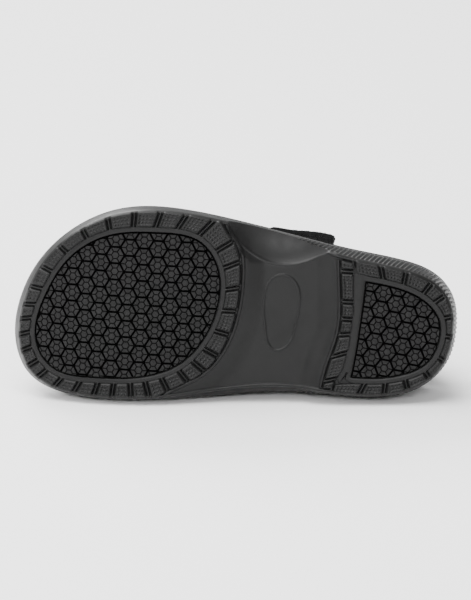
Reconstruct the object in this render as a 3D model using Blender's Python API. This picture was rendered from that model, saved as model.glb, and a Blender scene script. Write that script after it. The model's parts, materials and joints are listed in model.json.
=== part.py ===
"""Chef clog, left shoe, EU 38, lying on its inner side.

The shoe is worked out standing, in millimetres: x runs from the heel (0) to the toe, y points to the
outer (little toe) side and z up from the tread. Near the end it is laid on its inner side, in metres:
the toe then points to -X, the sole faces -Y and the origin is under the middle of its box.
"""
import math

import bmesh
import bpy
import numpy as np
from mathutils import Matrix, Vector

MM = 0.001

# Driving sizes of the shoe, in millimetres
GAP = 0.3
WALL = 3.5
STATIONS = 64
HEEL_HEIGHT = 26.0
BALL_HEIGHT = 15.0
TOE_HEIGHT = 11.0
SPRING_START = 185.0
SPRING_RADIUS = 150.0

# Heights of the tread, from the lug faces up
GROOVE_FLOOR = 2.2
LUG_ROOT = 3.4
RIM_FACE = 1.1
PAD_FACE = 0.6
POCKET_FLOOR = 3.8
SHANK_RISE = 4.5
CHANNEL = 2.2
LUG_DRAFT = 0.5
LUG_INSET = 0.9
SHANK_RAMP = 14.0
SIDE_START = 3.0

# The shoe's middle line, which places on its edge are drawn in to: x and y
SPINE_X = (34.0, 70.0, 120.0, 200.0, 228.0)
SPINE_Y = (-8.0, -6.0, 4.0, 9.0, 6.0)

# Upper: how its wall leaves the parting line, rows of faces up it and the height of its rounded lip
WALL_HANDLE = 0.42
WALL_LEAN = 0.14
UPPER_LEVELS = 10
LIP_RISE = 1.2

# Ribs round the side of the heel
RIB_PITCH = 2.7
RIB_RELIEF = 0.45
RIB_SLANT = 3.0
RIB_LOW = 0.15
RIB_HIGH = 0.72
RIB_FRONT = 100.0

# Textile strap
STRAP_WIDTH = 20.0
STRAP_THICK = 2.0

# Stations round the shoe, from the back of the heel along the inner side to the toe and back along the
# outer side. The edge is the tread's outline, the crown a handle that shapes the wall above it, and the
# collar the edge of the opening for the foot.
# Columns: edge x, edge y, flare, crown x, crown y, crown z, collar x, collar y, collar z
SHOE_ROWS = (
    (2.0, -6.0, 2.1, 3.0, -6.5, 46.0, 8.0, -7.0, 51.0),
    (7.0, -26.5, 2.2, 6.5, -25.5, 46.5, 12.0, -23.0, 51.2),
    (22.0, -41.3, 2.4, 23.0, -41.0, 47.5, 27.0, -36.0, 52.0),
    (45.0, -47.3, 2.4, 46.0, -46.5, 50.0, 49.0, -41.0, 54.5),
    (72.0, -45.9, 2.8, 73.0, -46.0, 53.0, 76.0, -40.5, 59.0),
    (107.0, -41.9, 4.6, 106.0, -45.0, 58.0, 103.0, -38.5, 67.0),
    (140.0, -43.8, 4.2, 130.0, -42.0, 66.0, 123.0, -32.0, 77.0),
    (175.0, -47.6, 2.6, 158.0, -45.0, 73.0, 134.0, -25.0, 85.5),
    (210.0, -48.0, 2.0, 184.0, -43.0, 73.0, 141.0, -17.5, 90.0),
    (238.0, -44.0, 2.0, 204.0, -34.0, 70.0, 144.5, -11.0, 91.8),
    (255.5, -34.5, 2.0, 219.0, -20.0, 65.5, 146.0, -5.0, 92.6),
    (262.8, -16.5, 2.0, 229.0, -9.0, 65.0, 146.8, -1.5, 93.0),
    (260.5, 6.0, 2.0, 227.0, 6.0, 65.0, 146.6, 2.5, 92.8),
    (249.5, 30.5, 1.6, 217.0, 23.0, 68.0, 145.6, 8.0, 92.0),
    (229.0, 51.5, 1.2, 203.0, 40.0, 71.0, 143.0, 15.0, 90.0),
    (200.0, 64.3, 0.9, 182.0, 53.0, 73.0, 137.5, 23.5, 86.5),
    (163.0, 64.0, 0.5, 155.0, 55.0, 70.0, 128.0, 31.0, 79.5),
    (125.0, 55.3, 0.4, 124.0, 47.5, 62.0, 113.0, 35.0, 70.0),
    (92.0, 45.2, 1.3, 93.0, 41.5, 56.0, 92.0, 35.0, 62.5),
    (62.0, 36.2, 2.2, 63.0, 35.0, 52.0, 64.0, 30.0, 57.0),
    (33.0, 29.4, 2.5, 35.0, 28.5, 49.0, 36.0, 23.5, 53.0),
    (12.0, 19.8, 2.4, 13.5, 18.5, 47.0, 17.0, 14.0, 51.5),
    (3.3, 7.0, 2.2, 4.5, 6.5, 46.0, 10.0, 4.5, 51.0),
)

# Outlines on the tread, x and y
FORE_PAD = ((142.0, 29.0), (141.8, 12.0), (151.0, -12.0), (167.0, -28.0), (190.0, -35.2), (220.0, -35.6),
            (240.0, -32.0), (250.5, -21.0), (252.5, -6.0), (246.0, 14.0), (232.0, 36.0), (208.0, 50.5),
            (178.0, 52.3), (153.0, 46.5))
HEEL_PAD_BACK = ((54.8, 22.2), (35.0, 17.8), (19.0, 9.8), (10.6, -1.5), (10.8, -14.0), (18.6, -28.0),
                 (33.0, -34.6), (48.0, -36.6), (63.9, -35.9))
HEEL_PAD_FRONT = ((63.9, -35.9), (60.9, -20.8), (58.7, -7.0), (56.4, 9.0), (54.8, 22.2))
SHANK_FRONT = ((140.0, 66.0), (136.5, 54.5), (129.2, 42.0), (127.5, 27.0), (130.0, 5.0), (139.0, -19.0),
               (151.0, -33.0), (166.0, -41.0), (184.0, -50.0))
SHANK_REAR = ((70.6, 48.0), (70.8, 28.0), (70.3, 10.0), (72.0, -9.0), (78.7, -28.8), (84.0, -52.0))

# Places of the channels between lugs, in degrees round the middle of each pad
FORE_MIDDLE = (198.0, 8.0)
FORE_CHANNELS = (10, 24, 42, 61, 79, 96, 111, 124, 136, 149, 159, 171, 183, 196, 209, 220, 231, 244, 256, 267,
                 279, 290, 301, 311, 320, 327, 335, 343, 351, 359, 370)
HEEL_MIDDLE = (38.0, -8.0)
HEEL_CHANNELS = (61, 79, 102, 128, 145, 166, 186, 211, 233, 257, 279, 299, 316)

# The heel ring's front column of lugs: its rear border, and where its channels cross the shoe, y at the pad
# and at the shank
COLUMN_REAR = ((61.9, 40.0), (61.9, 4.0), (63.1, -5.0), (64.6, -16.0), (68.2, -30.0), (74.5, -40.0),
               (76.0, -50.0))
COLUMN_CHANNELS = ((34.4, 36.6), (28.0, 28.4), (9.6, 10.0), (-0.9, -0.5), (-9.6, -10.2), (-20.5, -23.5),
                   (-36.4, -38.2), (-43.9, -43.3))

# Scooped hollow at the outer edge of the shank
SCOOP_CENTRE = (102.5, 58.0, 3.0)
SCOOP_RADII = (34.0, 28.5, 10.0)

# Strap: where it turns through the slot and where its ends lie along the shoe, and its middle height
SLOT_X = 112.0
FLAP_END_X = 75.0
INNER_END_X = 98.0
STRAP_FRONT_Z = 54.0
STRAP_BACK_Z = 73.0
INNER_OUT = -6.2

STRAP_STEPS = 24
SLOT_HALF = 1.8

# The free flap, which springs away from the wall towards its blunt tip: distance from its end, distance out
# from the wall, thickness, width
FLAP_ROWS = ((0.0, 5.9, 2.4, 14.0), (0.9, 5.9, 3.9, 18.0), (2.4, 5.8, 4.4, 20.0), (9.0, 5.3, 4.4, 20.0),
             (16.0, 4.4, 4.1, 20.0), (23.0, 3.3, 3.6, 20.0), (29.0, 2.5, 3.2, 20.0))

# The turn through the slot: distance back from the slot's middle, distance out from the wall, thickness
TURN_ROWS = ((4.5, 2.1, 3.0), (2.2, 2.0, 2.4), (0.7, 1.4, 2.0), (0.0, 0.1, 2.0), (0.0, -3.6, 2.0),
             (0.7, -5.1, 2.0), (2.2, -6.0, 2.0), (5.0, -6.2, 2.0))

# Node, colour, roughness and density in grams per cubic centimetre
FINISHES = (
    ("sole", (0.05, 0.05, 0.05), 0.6, 0.24),
    ("upper", (0.04, 0.04, 0.042), 0.55, 0.24),
    ("insole", (0.05, 0.05, 0.05), 0.7, 0.2),
    ("forefoot_tread", (0.03, 0.03, 0.03), 0.65, 1.1),
    ("heel_tread", (0.03, 0.03, 0.03), 0.65, 1.1),
    ("strap", (0.02, 0.02, 0.02), 0.9, 0.6),
)


def clean_scene():
    """Removes whatever the scene holds."""
    for item in list(bpy.data.objects):
        bpy.data.objects.remove(item, do_unlink=True)


def smooth(value):
    """Eases from 0 to 1."""
    value = min(max(value, 0.0), 1.0)
    return value * value * (3.0 - 2.0 * value)


def spline_through(rows, closed):
    """Cubic spline through rows, paced by the distance between their first two columns."""
    rows = np.array(rows, float)
    if closed:
        rows = np.vstack([rows, rows[:1]])
    steps = np.linalg.norm(np.diff(rows[:, :2], axis=0), axis=1)
    knots = np.concatenate([[0.0], np.cumsum(steps)])
    slopes = np.diff(rows, axis=0) / steps[:, None]
    last = len(knots) - 1
    matrix = np.zeros((last + 1, last + 1))
    right = np.zeros_like(rows)
    for i in range(1, last):
        matrix[i, i - 1:i + 2] = steps[i - 1], 2.0 * (steps[i - 1] + steps[i]), steps[i]
        right[i] = 6.0 * (slopes[i] - slopes[i - 1])
    if closed:
        matrix[0, 0], matrix[0, last] = 1.0, -1.0
        matrix[last, 0], matrix[last, 1] = 2.0 * steps[0], steps[0]
        matrix[last, last - 1], matrix[last, last] = steps[-1], 2.0 * steps[-1]
        right[last] = 6.0 * (slopes[0] - slopes[-1])
    else:
        matrix[0, 0] = matrix[last, last] = 1.0
    bends = np.linalg.solve(matrix, right)

    def at(share):
        distance = share * knots[-1]
        i = min(int(np.searchsorted(knots, distance, side="right")) - 1, last - 1)
        b = (distance - knots[i]) / steps[i]
        a = 1.0 - b
        curve = (a ** 3 - a) * bends[i] + (b ** 3 - b) * bends[i + 1]
        return a * rows[i] + b * rows[i + 1] + curve * steps[i] ** 2 / 6.0
    return at


SHOE = spline_through(SHOE_ROWS, closed=True)


def outline(rows, count):
    """Points of a closed smooth outline."""
    at = spline_through(rows, closed=True)
    return np.array([at(i / count) for i in range(count)])


def joined_outline(back, front, back_count, front_count):
    """Points of an outline made of two smooth runs that meet at two corners."""
    run_a = spline_through(back, closed=False)
    run_b = spline_through(front, closed=False)
    points = [run_a(i / back_count) for i in range(back_count)]
    points += [run_b(i / front_count) for i in range(front_count)]
    return np.array(points)


def outward(share):
    """Unit vector across the shoe's edge, pointing out."""
    step = 0.0005
    ahead = SHOE((share + step) % 1.0)[:2]
    behind = SHOE((share - step) % 1.0)[:2]
    along = (ahead - behind) / np.linalg.norm(ahead - behind)
    return np.array([along[1], -along[0]])


def edge_outline(inset):
    """The tread's outline, moved inwards."""
    return np.array([SHOE(i / STATIONS)[:2] - inset * outward(i / STATIONS) for i in range(STATIONS)])


def toe_rise(x):
    """How far the toe spring lifts the shoe at x."""
    run = min(max(0.0, x - SPRING_START), 0.95 * SPRING_RADIUS)
    return SPRING_RADIUS - math.sqrt(SPRING_RADIUS ** 2 - run ** 2)


def parting(x):
    """Height of the joint between sole and upper, without the toe spring."""
    height = HEEL_HEIGHT
    height -= (HEEL_HEIGHT - BALL_HEIGHT) * smooth((x - 50.0) / 130.0)
    height -= (BALL_HEIGHT - TOE_HEIGHT) * smooth((x - 190.0) / 70.0)
    return height


def line_distance(point, line):
    """Distance from a point to a run of straight pieces, with a plus sign on the run's left side."""
    starts, ends = line[:-1], line[1:]
    spans = ends - starts
    shares = np.sum((point - starts) * spans, axis=1) / np.sum(spans ** 2, axis=1)
    nearest = starts + np.clip(shares, 0.0, 1.0)[:, None] * spans
    gaps = np.linalg.norm(point - nearest, axis=1)
    k = int(np.argmin(gaps))
    side = spans[k][0] * (point - starts[k])[1] - spans[k][1] * (point - starts[k])[0]
    return math.copysign(gaps[k], side)


PERIMETER = sum(math.dist(SHOE(k / 400.0)[:2], SHOE((k + 1) / 400.0 % 1.0)[:2]) for k in range(400))
FRONT_AT = spline_through(SHANK_FRONT, closed=False)
REAR_AT = spline_through(SHANK_REAR, closed=False)
FRONT_LINE = np.array([FRONT_AT(i / 24.0) for i in range(25)])
REAR_LINE = np.array([REAR_AT(i / 16.0) for i in range(17)])


def shank_rise(x, y):
    """How far the waist of the sole is raised between the two rings of lugs."""
    here = np.array([x, y])
    depth = min(-line_distance(here, FRONT_LINE), line_distance(here, REAR_LINE))
    return SHANK_RISE * smooth(depth / SHANK_RAMP)


def lifted(x, y, z):
    """A point in shoe millimetres, with the toe spring."""
    return (x, y, z + toe_rise(x))


def mesh_object(name, points, faces):
    """A mesh object from points in millimetres, with its faces turned outwards."""
    mesh = bpy.data.meshes.new(name)
    mesh.from_pydata([tuple(MM * v for v in p) for p in points], [], faces)
    work = bmesh.new()
    work.from_mesh(mesh)
    bmesh.ops.triangulate(work, faces=work.faces, quad_method="SHORT_EDGE", ngon_method="BEAUTY")
    bmesh.ops.recalc_face_normals(work, faces=work.faces)
    work.to_mesh(mesh)
    work.free()
    item = bpy.data.objects.new(name, mesh)
    bpy.context.scene.collection.objects.link(item)
    return item


def loft(name, rings):
    """A closed solid through rings of the same count, capped flat at both ends."""
    count = len(rings[0])
    points = [p for ring in rings for p in ring]
    faces = []
    for r in range(len(rings) - 1):
        for i in range(count):
            j = (i + 1) % count
            faces.append((r * count + i, r * count + j, (r + 1) * count + j, (r + 1) * count + i))
    faces.append(tuple(range(count))[::-1])
    faces.append(tuple((len(rings) - 1) * count + i for i in range(count)))
    return mesh_object(name, points, faces)


def combine(target, tool, operation):
    """Cuts or joins one solid with another and removes the tool."""
    step = target.modifiers.new("combine", "BOOLEAN")
    step.operation = operation
    step.solver = "EXACT"
    step.object = tool
    graph = bpy.context.evaluated_depsgraph_get()
    mesh = bpy.data.meshes.new_from_object(target.evaluated_get(graph))
    target.modifiers.remove(step)
    old = target.data
    target.data = mesh
    bpy.data.meshes.remove(old)
    bpy.data.objects.remove(tool, do_unlink=True)


def merged(name, pieces):
    """Joins solids that don't touch into one tool for a Boolean."""
    points = []
    faces = []
    for piece in pieces:
        base = len(points)
        points += [tuple(v.co / MM) for v in piece.data.vertices]
        faces += [tuple(base + i for i in polygon.vertices) for polygon in piece.data.polygons]
        bpy.data.objects.remove(piece, do_unlink=True)
    return mesh_object(name, points, faces)


def shrunk(ring, share, middle):
    """A ring drawn in towards the middle."""
    return [middle + share * (p - middle) for p in ring]


def spine(point):
    """The point of the shoe's middle line that a place on the edge is drawn in to."""
    x = min(max(point[0], SPINE_X[0]), SPINE_X[-1])
    return np.array([x, np.interp(x, SPINE_X, SPINE_Y)])


def tread_prism(name, points, low, high, rings=(0.62, 0.25)):
    """A slab under the tread's outline, bent with the toe spring."""
    middle = np.mean(points, axis=0)
    levels = []
    for share in reversed(rings):
        levels.append([lifted(p[0], p[1], low) for p in shrunk(points, share, middle)])
    levels.append([lifted(p[0], p[1], low) for p in points])
    levels.append([lifted(p[0], p[1], high) for p in points])
    for share in rings:
        levels.append([lifted(p[0], p[1], high) for p in shrunk(points, share, middle)])
    return loft(name, levels)


def grown(points, width):
    """An outline moved outwards."""
    ahead = np.roll(points, -1, axis=0) - np.roll(points, 1, axis=0)
    along = ahead / np.linalg.norm(ahead, axis=1)[:, None]
    area = np.sum(points[:, 0] * np.roll(points[:, 1], -1) - np.roll(points[:, 0], -1) * points[:, 1])
    turn = 1.0 if area > 0.0 else -1.0
    return points + turn * width * np.column_stack([along[:, 1], -along[:, 0]])


def reach(middle, angle, line):
    """How far a ray from the middle runs before it meets a run of straight pieces."""
    aim = np.array([math.cos(angle), math.sin(angle)])
    best = math.inf
    for a, b in zip(line[:-1], line[1:]):
        across = b - a
        turn = aim[0] * across[1] - aim[1] * across[0]
        if abs(turn) < 1e-9:
            continue
        along = ((a - middle)[0] * across[1] - (a - middle)[1] * across[0]) / turn
        share = ((a - middle)[0] * aim[1] - (a - middle)[1] * aim[0]) / turn
        if along > 0.0 and 0.0 <= share <= 1.0:
            best = min(best, along)
    return best


def closed_line(points):
    """An outline with its first point repeated at the end."""
    return np.vstack([points, points[:1]])


def lug_block(corners):
    """A block lug on four corners, drafted towards its face."""
    centre = np.mean(corners, axis=0)
    face = [p - LUG_DRAFT * math.sqrt(2.0) * (p - centre) / np.linalg.norm(p - centre) for p in corners]
    root = [lifted(p[0], p[1], LUG_ROOT) for p in corners]
    return loft("lug", [root, [lifted(p[0], p[1], 0.0) for p in face]])


def lug_ring(channels, middle, inner, limits):
    """Block lugs between an inner outline and the nearest of the outer limits, all round or up to the last."""
    middle = np.array(middle)
    inner = closed_line(inner)
    lugs = []
    for start, stop in zip(channels[:-1], channels[1:]):
        angles = [math.radians(start), math.radians(stop)]
        near = [reach(middle, a, inner) for a in angles]
        far = [min(reach(middle, a, line) for line in limits) for a in angles]
        corners = []
        for i, turn in ((0, 1.0), (1, -1.0)):
            for distance in (near[i], far[i]):
                swing = turn * 0.5 * CHANNEL / distance
                aim = np.array([math.cos(angles[i] + swing), math.sin(angles[i] + swing)])
                corners.append(middle + distance * aim)
        lugs.append(lug_block([corners[0], corners[1], corners[3], corners[2]]))
    return merged("lugs", lugs)


def lug_column(channels, inner_line, outer_line):
    """Block lugs side by side across the shoe, between two lines that run across it."""
    lugs = []
    for (y0, y1), (y3, y2) in zip(channels[:-1], channels[1:]):
        half = 0.5 * CHANNEL
        places = ((inner_line, y0 - half), (outer_line, y1 - half), (outer_line, y2 + half),
                  (inner_line, y3 + half))
        corners = [np.array([np.interp(-y, -line[:, 1], line[:, 0]), y]) for line, y in places]
        lugs.append(lug_block(corners))
    return merged("lugs", lugs)


def within(point, loop):
    """Whether a point lies inside a closed outline."""
    turns = 0
    for a, b in zip(loop[:-1], loop[1:]):
        if (a[1] > point[1]) != (b[1] > point[1]):
            cross = a[0] + (point[1] - a[1]) / (b[1] - a[1]) * (b[0] - a[0])
            turns += cross > point[0]
    return turns % 2 == 1


def rail(line, width, low, high):
    """A low raised border along a run of points."""
    along = np.gradient(line, axis=0)
    along /= np.linalg.norm(along, axis=1)[:, None]
    across = np.column_stack([-along[:, 1], along[:, 0]])
    sections = []
    for p, a in zip(line, across):
        top = [p + a * side * width * 0.5 for side in (-1.0, 1.0)]
        root = [p + a * side * width * 0.8 for side in (-1.0, 1.0)]
        sections.append([lifted(*top[0], low), lifted(*top[1], low),
                         lifted(*root[1], high), lifted(*root[0], high)])
    return loft("rail", sections)


def side_point(share, height, inset):
    """A point on the sole's side wall. The height runs from 0 at the tread to 1 at the parting line."""
    row = SHOE(share % 1.0)
    rise = shank_rise(row[0], row[1]) * (1.0 - height)
    level = SIDE_START + rise + height * (parting(row[0]) - SIDE_START - rise)
    out = row[2] * math.sin(0.5 * math.pi * height) - inset
    place = row[:2] + out * outward(share % 1.0)
    return lifted(place[0], place[1], level)


def share_at(x, outer_side):
    """The station, as a share of the way round, where the edge passes x on one side of the shoe."""
    shares = np.linspace(0.6, 1.0, 200) if outer_side else np.linspace(0.0, 0.4, 200)
    places = [SHOE(s % 1.0)[0] for s in shares]
    if outer_side:
        return float(np.interp(-x, -np.array(places[:190]), shares[:190]))
    return float(np.interp(x, places, shares))


def rib_stations():
    """Stations of the ribbed band, each with its relief: close pairs round the heel, even ones elsewhere."""
    first = share_at(RIB_FRONT, True) - 1.0
    last = share_at(RIB_FRONT, False)
    count = 2 * round((last - first) * PERIMETER / RIB_PITCH)
    margin = 0.4 / STATIONS
    stations = []
    for k in range(count + 1):
        share = first + (last - first) * k / count
        stations.append((share % 1.0, RIB_RELIEF if k % 2 else 0.0, 0.0 if k in (0, count) else 1.0))
    for k in range(STATIONS):
        if last + margin < k / STATIONS < 1.0 + first - margin:
            stations.append((k / STATIONS, 0.0, 0.0))
    return sorted(stations)


def zipped(first, first_shares, second, second_shares):
    """Triangles between two closed rings of unlike counts, matched by their shares of the way round."""
    faces = []
    i = j = 0
    m, n = len(first), len(second)
    while i < m or j < n:
        next_i = first_shares[i + 1] if i + 1 < m else first_shares[0] + 1.0
        next_j = second_shares[j + 1] if j + 1 < n else second_shares[0] + 1.0
        if j >= n or (i < m and next_i <= next_j):
            faces.append((first[i % m], first[(i + 1) % m], second[j % n]))
            i += 1
        else:
            faces.append((first[i % m], second[(j + 1) % n], second[j % n]))
            j += 1
    return faces


def shared_loft(name, rings):
    """A closed solid through rings of unlike counts. Each ring is its shares and its points."""
    points = []
    faces = []
    spans = []
    for shares, ring in rings:
        spans.append((list(range(len(points), len(points) + len(ring))), shares))
        points += ring
    for (low, low_shares), (high, high_shares) in zip(spans[:-1], spans[1:]):
        if len(low) == len(high):
            count = len(low)
            for i in range(count):
                j = (i + 1) % count
                faces.append((low[i], low[j], high[j], high[i]))
        else:
            faces += zipped(low, low_shares, high, high_shares)
    faces.append(tuple(spans[0][0][::-1]))
    faces.append(tuple(spans[-1][0]))
    return mesh_object(name, points, faces)


def base_of_sole():
    """The sole's body with its outer side, ribs, shank, arch and toe spring, without lugs."""
    even = [i / STATIONS for i in range(STATIONS)]
    rings = []
    for share in (0.3, 0.65):
        ring = []
        for p in edge_outline(2.4):
            q = spine(p) + share * (p - spine(p))
            ring.append(lifted(q[0], q[1], GROOVE_FLOOR + shank_rise(q[0], q[1])))
        rings.append((even, ring))
    for inset, level in ((2.4, GROOVE_FLOOR), (1.7, 1.3), (0.7, 1.4), (0.0, SIDE_START)):
        ring = []
        for share in even:
            p = SHOE(share)[:2] - inset * outward(share)
            ring.append(lifted(p[0], p[1], level + shank_rise(p[0], p[1])))
        rings.append((even, ring))
    for height, inset in ((0.04, 0.6), (0.1, 0.0)):
        rings.append((even, [side_point(share, height, inset) for share in even]))
    ribs = rib_stations()
    for height, slant in ((RIB_LOW, 0.0), (RIB_HIGH, RIB_SLANT)):
        ring = [side_point(share + move * slant / PERIMETER, height, -relief) for share, relief, move in ribs]
        rings.append(([station[0] for station in ribs], ring))
    for height, inset in ((0.77, 0.0), (0.86, 0.5), (1.0, 0.3)):
        rings.append((even, [side_point(share, height, inset) for share in even]))
    for share in (0.72, 0.3):
        ring = []
        for place in even:
            p = SHOE(place)[:2]
            q = spine(p) + share * (p - spine(p))
            ring.append(lifted(q[0], q[1], parting(q[0])))
        rings.append((even, ring))
    return shared_loft("sole", rings)


def scoop_tool():
    """Ellipsoid that hollows the outer edge of the shank."""
    bpy.ops.mesh.primitive_uv_sphere_add(segments=28, ring_count=14, radius=1.0)
    tool = bpy.context.active_object
    for vertex in tool.data.vertices:
        vertex.co = [MM * (c + r * v) for c, r, v in zip(SCOOP_CENTRE, SCOOP_RADII, vertex.co)]
    return tool


def build_sole():
    """Outsole unit: body, rims round the pads, lugs, borders towards the shank and scoop."""
    sole = base_of_sole()
    fore_pad = outline(FORE_PAD, 40)
    heel_pad = joined_outline(HEEL_PAD_BACK, HEEL_PAD_FRONT, 20, 6)
    combine(sole, scoop_tool(), "DIFFERENCE")
    border_edge = closed_line(edge_outline(2.0))
    for line in (FRONT_LINE, REAR_LINE):
        kept = np.array([p for p in line if within(p, border_edge)])
        combine(sole, rail(kept, 1.5, RIM_FACE, LUG_ROOT + 1.0), "UNION")
    combine(sole, tread_prism("rim", grown(fore_pad, 3.2), RIM_FACE, LUG_ROOT), "UNION")
    combine(sole, tread_prism("rim", grown(heel_pad, 2.4), RIM_FACE, LUG_ROOT), "UNION")
    edge = closed_line(edge_outline(LUG_INSET))
    front = FRONT_LINE + np.array([1.8, 0.0])
    lugs = lug_ring(FORE_CHANNELS, FORE_MIDDLE, grown(fore_pad, 3.7), (edge, front))
    combine(sole, lugs, "UNION")
    lugs = lug_ring(HEEL_CHANNELS, HEEL_MIDDLE, grown(heel_pad, 2.9), (edge, REAR_LINE))
    combine(sole, lugs, "UNION")
    lugs = lug_column(COLUMN_CHANNELS, np.array(COLUMN_REAR), REAR_LINE - np.array([1.8, 0.0]))
    combine(sole, lugs, "UNION")
    combine(sole, tread_prism("pocket", fore_pad, -2.0, POCKET_FLOOR), "DIFFERENCE")
    combine(sole, tread_prism("pocket", heel_pad, -2.0, POCKET_FLOOR), "DIFFERENCE")
    return sole


def wall_profile(share, steps):
    """Points up the upper's outer side at a station, from the parting line to the collar."""
    row = SHOE(share % 1.0)
    out = outward(share % 1.0)
    foot = row[:2] + row[2] * out
    base = np.array([foot[0], foot[1], parting(row[0]) + toe_rise(foot[0]) + GAP])
    rise = WALL_HANDLE * (row[5] - base[2])
    first = base + np.array([-WALL_LEAN * out[0], -WALL_LEAN * out[1], 1.0]) * rise
    crown = row[3:6]
    collar = row[6:9]
    points = []
    for k in range(steps + 1):
        t = k / steps
        s = 1.0 - t
        points.append(s ** 3 * base + 3 * s * s * t * first + 3 * s * t * t * crown + t ** 3 * collar)
    return np.array(points)


def upper_grids():
    """The upper's outer surface, the inner one WALL inside it, and the direction between them."""
    outer = np.array([wall_profile(i / STATIONS, UPPER_LEVELS) for i in range(STATIONS)])
    along = np.roll(outer, -1, axis=0) - np.roll(outer, 1, axis=0)
    normal = np.cross(along, np.gradient(outer, axis=1))
    normal /= np.linalg.norm(normal, axis=2)[:, :, None]
    foot = normal[:, 0, :].copy()
    foot[:, 2] = 0.0
    normal[:, 0, :] = foot / np.linalg.norm(foot, axis=1)[:, None]
    return outer, outer - WALL * normal, normal


def build_upper():
    """Hollow shell from the parting line to the collar, open above and below, with the strap's slot."""
    outer, inner, normal = upper_grids()
    levels = outer.shape[1]
    lip_rise = outer[:, -1] - outer[:, -2]
    lip_rise /= np.linalg.norm(lip_rise, axis=1)[:, None]
    lip = outer[:, -1] - 0.5 * WALL * normal[:, -1] + LIP_RISE * lip_rise
    rings = [outer[:, k] for k in range(levels)] + [lip] + [inner[:, k] for k in range(levels - 1, -1, -1)]
    points = [tuple(p) for ring in rings for p in ring]
    faces = []
    for r in range(len(rings)):
        s = (r + 1) % len(rings)
        for i in range(STATIONS):
            j = (i + 1) % STATIONS
            faces.append((r * STATIONS + i, r * STATIONS + j, s * STATIONS + j, s * STATIONS + i))
    upper = mesh_object("upper", points, faces)
    combine(upper, slot_tool(), "DIFFERENCE")
    return upper


def build_insole():
    """Footbed that lies on the sole, a little raised round its rim."""
    plan = ((0.3, 0.0, 0.0), (0.72, 0.0, 0.0), (1.0, 0.0, 0.0), (1.0, 0.6, 5.5), (0.9, 0.6, 5.0), (0.72, 0.0, 3.6),
            (0.3, 0.0, 3.2))
    rings = []
    for share, inset, thick in plan:
        ring = []
        for i in range(STATIONS):
            row = SHOE(i / STATIONS)
            p = row[:2] + (row[2] - WALL - 1.0 - inset) * outward(i / STATIONS)
            q = spine(p) + share * (p - spine(p))
            ring.append(lifted(q[0], q[1], parting(q[0]) + GAP + thick))
        rings.append(ring)
    return loft("insole", rings)


def build_pad(name, points):
    """Rubber tread pad let into the sole."""
    return tread_prism(name, grown(points, -GAP), PAD_FACE, POCKET_FLOOR - GAP)


def wall_at(share, height, out):
    """The point at a height on the upper's outer side, moved out from it.

    Above the collar it goes straight up.
    """
    profile = wall_profile(share, 24)
    side = outward(share % 1.0)
    x = np.interp(height, profile[:, 2], profile[:, 0]) + out * side[0]
    y = np.interp(height, profile[:, 2], profile[:, 1]) + out * side[1]
    return np.array([x, y, height])


def strap_middle(share):
    """Height of the strap's middle line, which rises towards the back of the heel."""
    return STRAP_BACK_Z - (STRAP_BACK_Z - STRAP_FRONT_Z) * SHOE(share % 1.0)[0] / SLOT_X


def slot_tool():
    """Upright block that cuts the strap's slot through the outer wall."""
    share = share_at(SLOT_X, True)
    side = outward(share)
    along = np.array([-side[1], side[0], 0.0])
    half = 0.5 * STRAP_WIDTH + 2.0 * GAP
    rings = []
    for height in (strap_middle(share) - half, strap_middle(share), strap_middle(share) + half):
        ring = []
        for out, way in ((-10.0, -1.0), (6.0, -1.0), (6.0, 1.0), (-10.0, 1.0)):
            ring.append(wall_at(share, height, out) + along * way * SLOT_HALF)
        rings.append(ring)
    return loft("slot", rings)


def strap_route():
    """Rows along the strap: station, distance out from the wall, thickness and width."""
    slot = share_at(SLOT_X, True)
    end = share_at(FLAP_END_X, True)
    last = 1.0 + share_at(INNER_END_X, False)
    route = [(end - back / PERIMETER, out, thick, width) for back, out, thick, width in FLAP_ROWS]
    turn = [(slot + back / PERIMETER, out, thick, STRAP_WIDTH) for back, out, thick in TURN_ROWS]
    route += turn
    for k in range(1, STRAP_STEPS + 1):
        share = turn[-1][0] + (last - turn[-1][0]) * k / STRAP_STEPS
        route.append((share, INNER_OUT, STRAP_THICK, STRAP_WIDTH))
    return route


def build_strap():
    """Textile band: free flap outside, turn through the slot, run round the heel to the inner side."""
    route = strap_route()
    edges = []
    for level in (-0.5, 0.0, 0.5):
        line = np.array([wall_at(s, strap_middle(s) + level * width, out) for s, out, _, width in route])
        along = np.gradient(line[:, :2], axis=0)
        along /= np.linalg.norm(along, axis=1)[:, None]
        across = np.column_stack([along[:, 1], -along[:, 0], np.zeros(len(line))])
        half = 0.5 * np.array([row[2] for row in route])[:, None]
        edges.append((line + half * across, line - half * across))
    (low_a, low_b), (mid_a, mid_b), (top_a, top_b) = edges
    sections = [list(ring) for ring in zip(low_a, mid_a, top_a, top_b, mid_b, low_b)]
    return loft("strap", sections)


def paint(item, colour, roughness):
    """Gives a solid its own Principled material."""
    material = bpy.data.materials.new(item.name + "_material")
    material.use_nodes = True
    shader = material.node_tree.nodes["Principled BSDF"]
    shader.inputs["Base Color"].default_value = (*colour, 1.0)
    shader.inputs["Roughness"].default_value = roughness
    shader.inputs["Metallic"].default_value = 0.0
    item.data.materials.clear()
    item.data.materials.append(material)


def balance_point(items, densities):
    """Middle of the weight of some solids."""
    total = 0.0
    moment = Vector((0.0, 0.0, 0.0))
    for item, density in zip(items, densities):
        work = bmesh.new()
        work.from_mesh(item.data)
        bmesh.ops.triangulate(work, faces=work.faces)
        for face in work.faces:
            a, b, c = (v.co for v in face.verts)
            share = density * a.dot(b.cross(c)) / 6.0
            total += share
            moment += share * (a + b + c) / 4.0
        work.free()
    return moment / total


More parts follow.
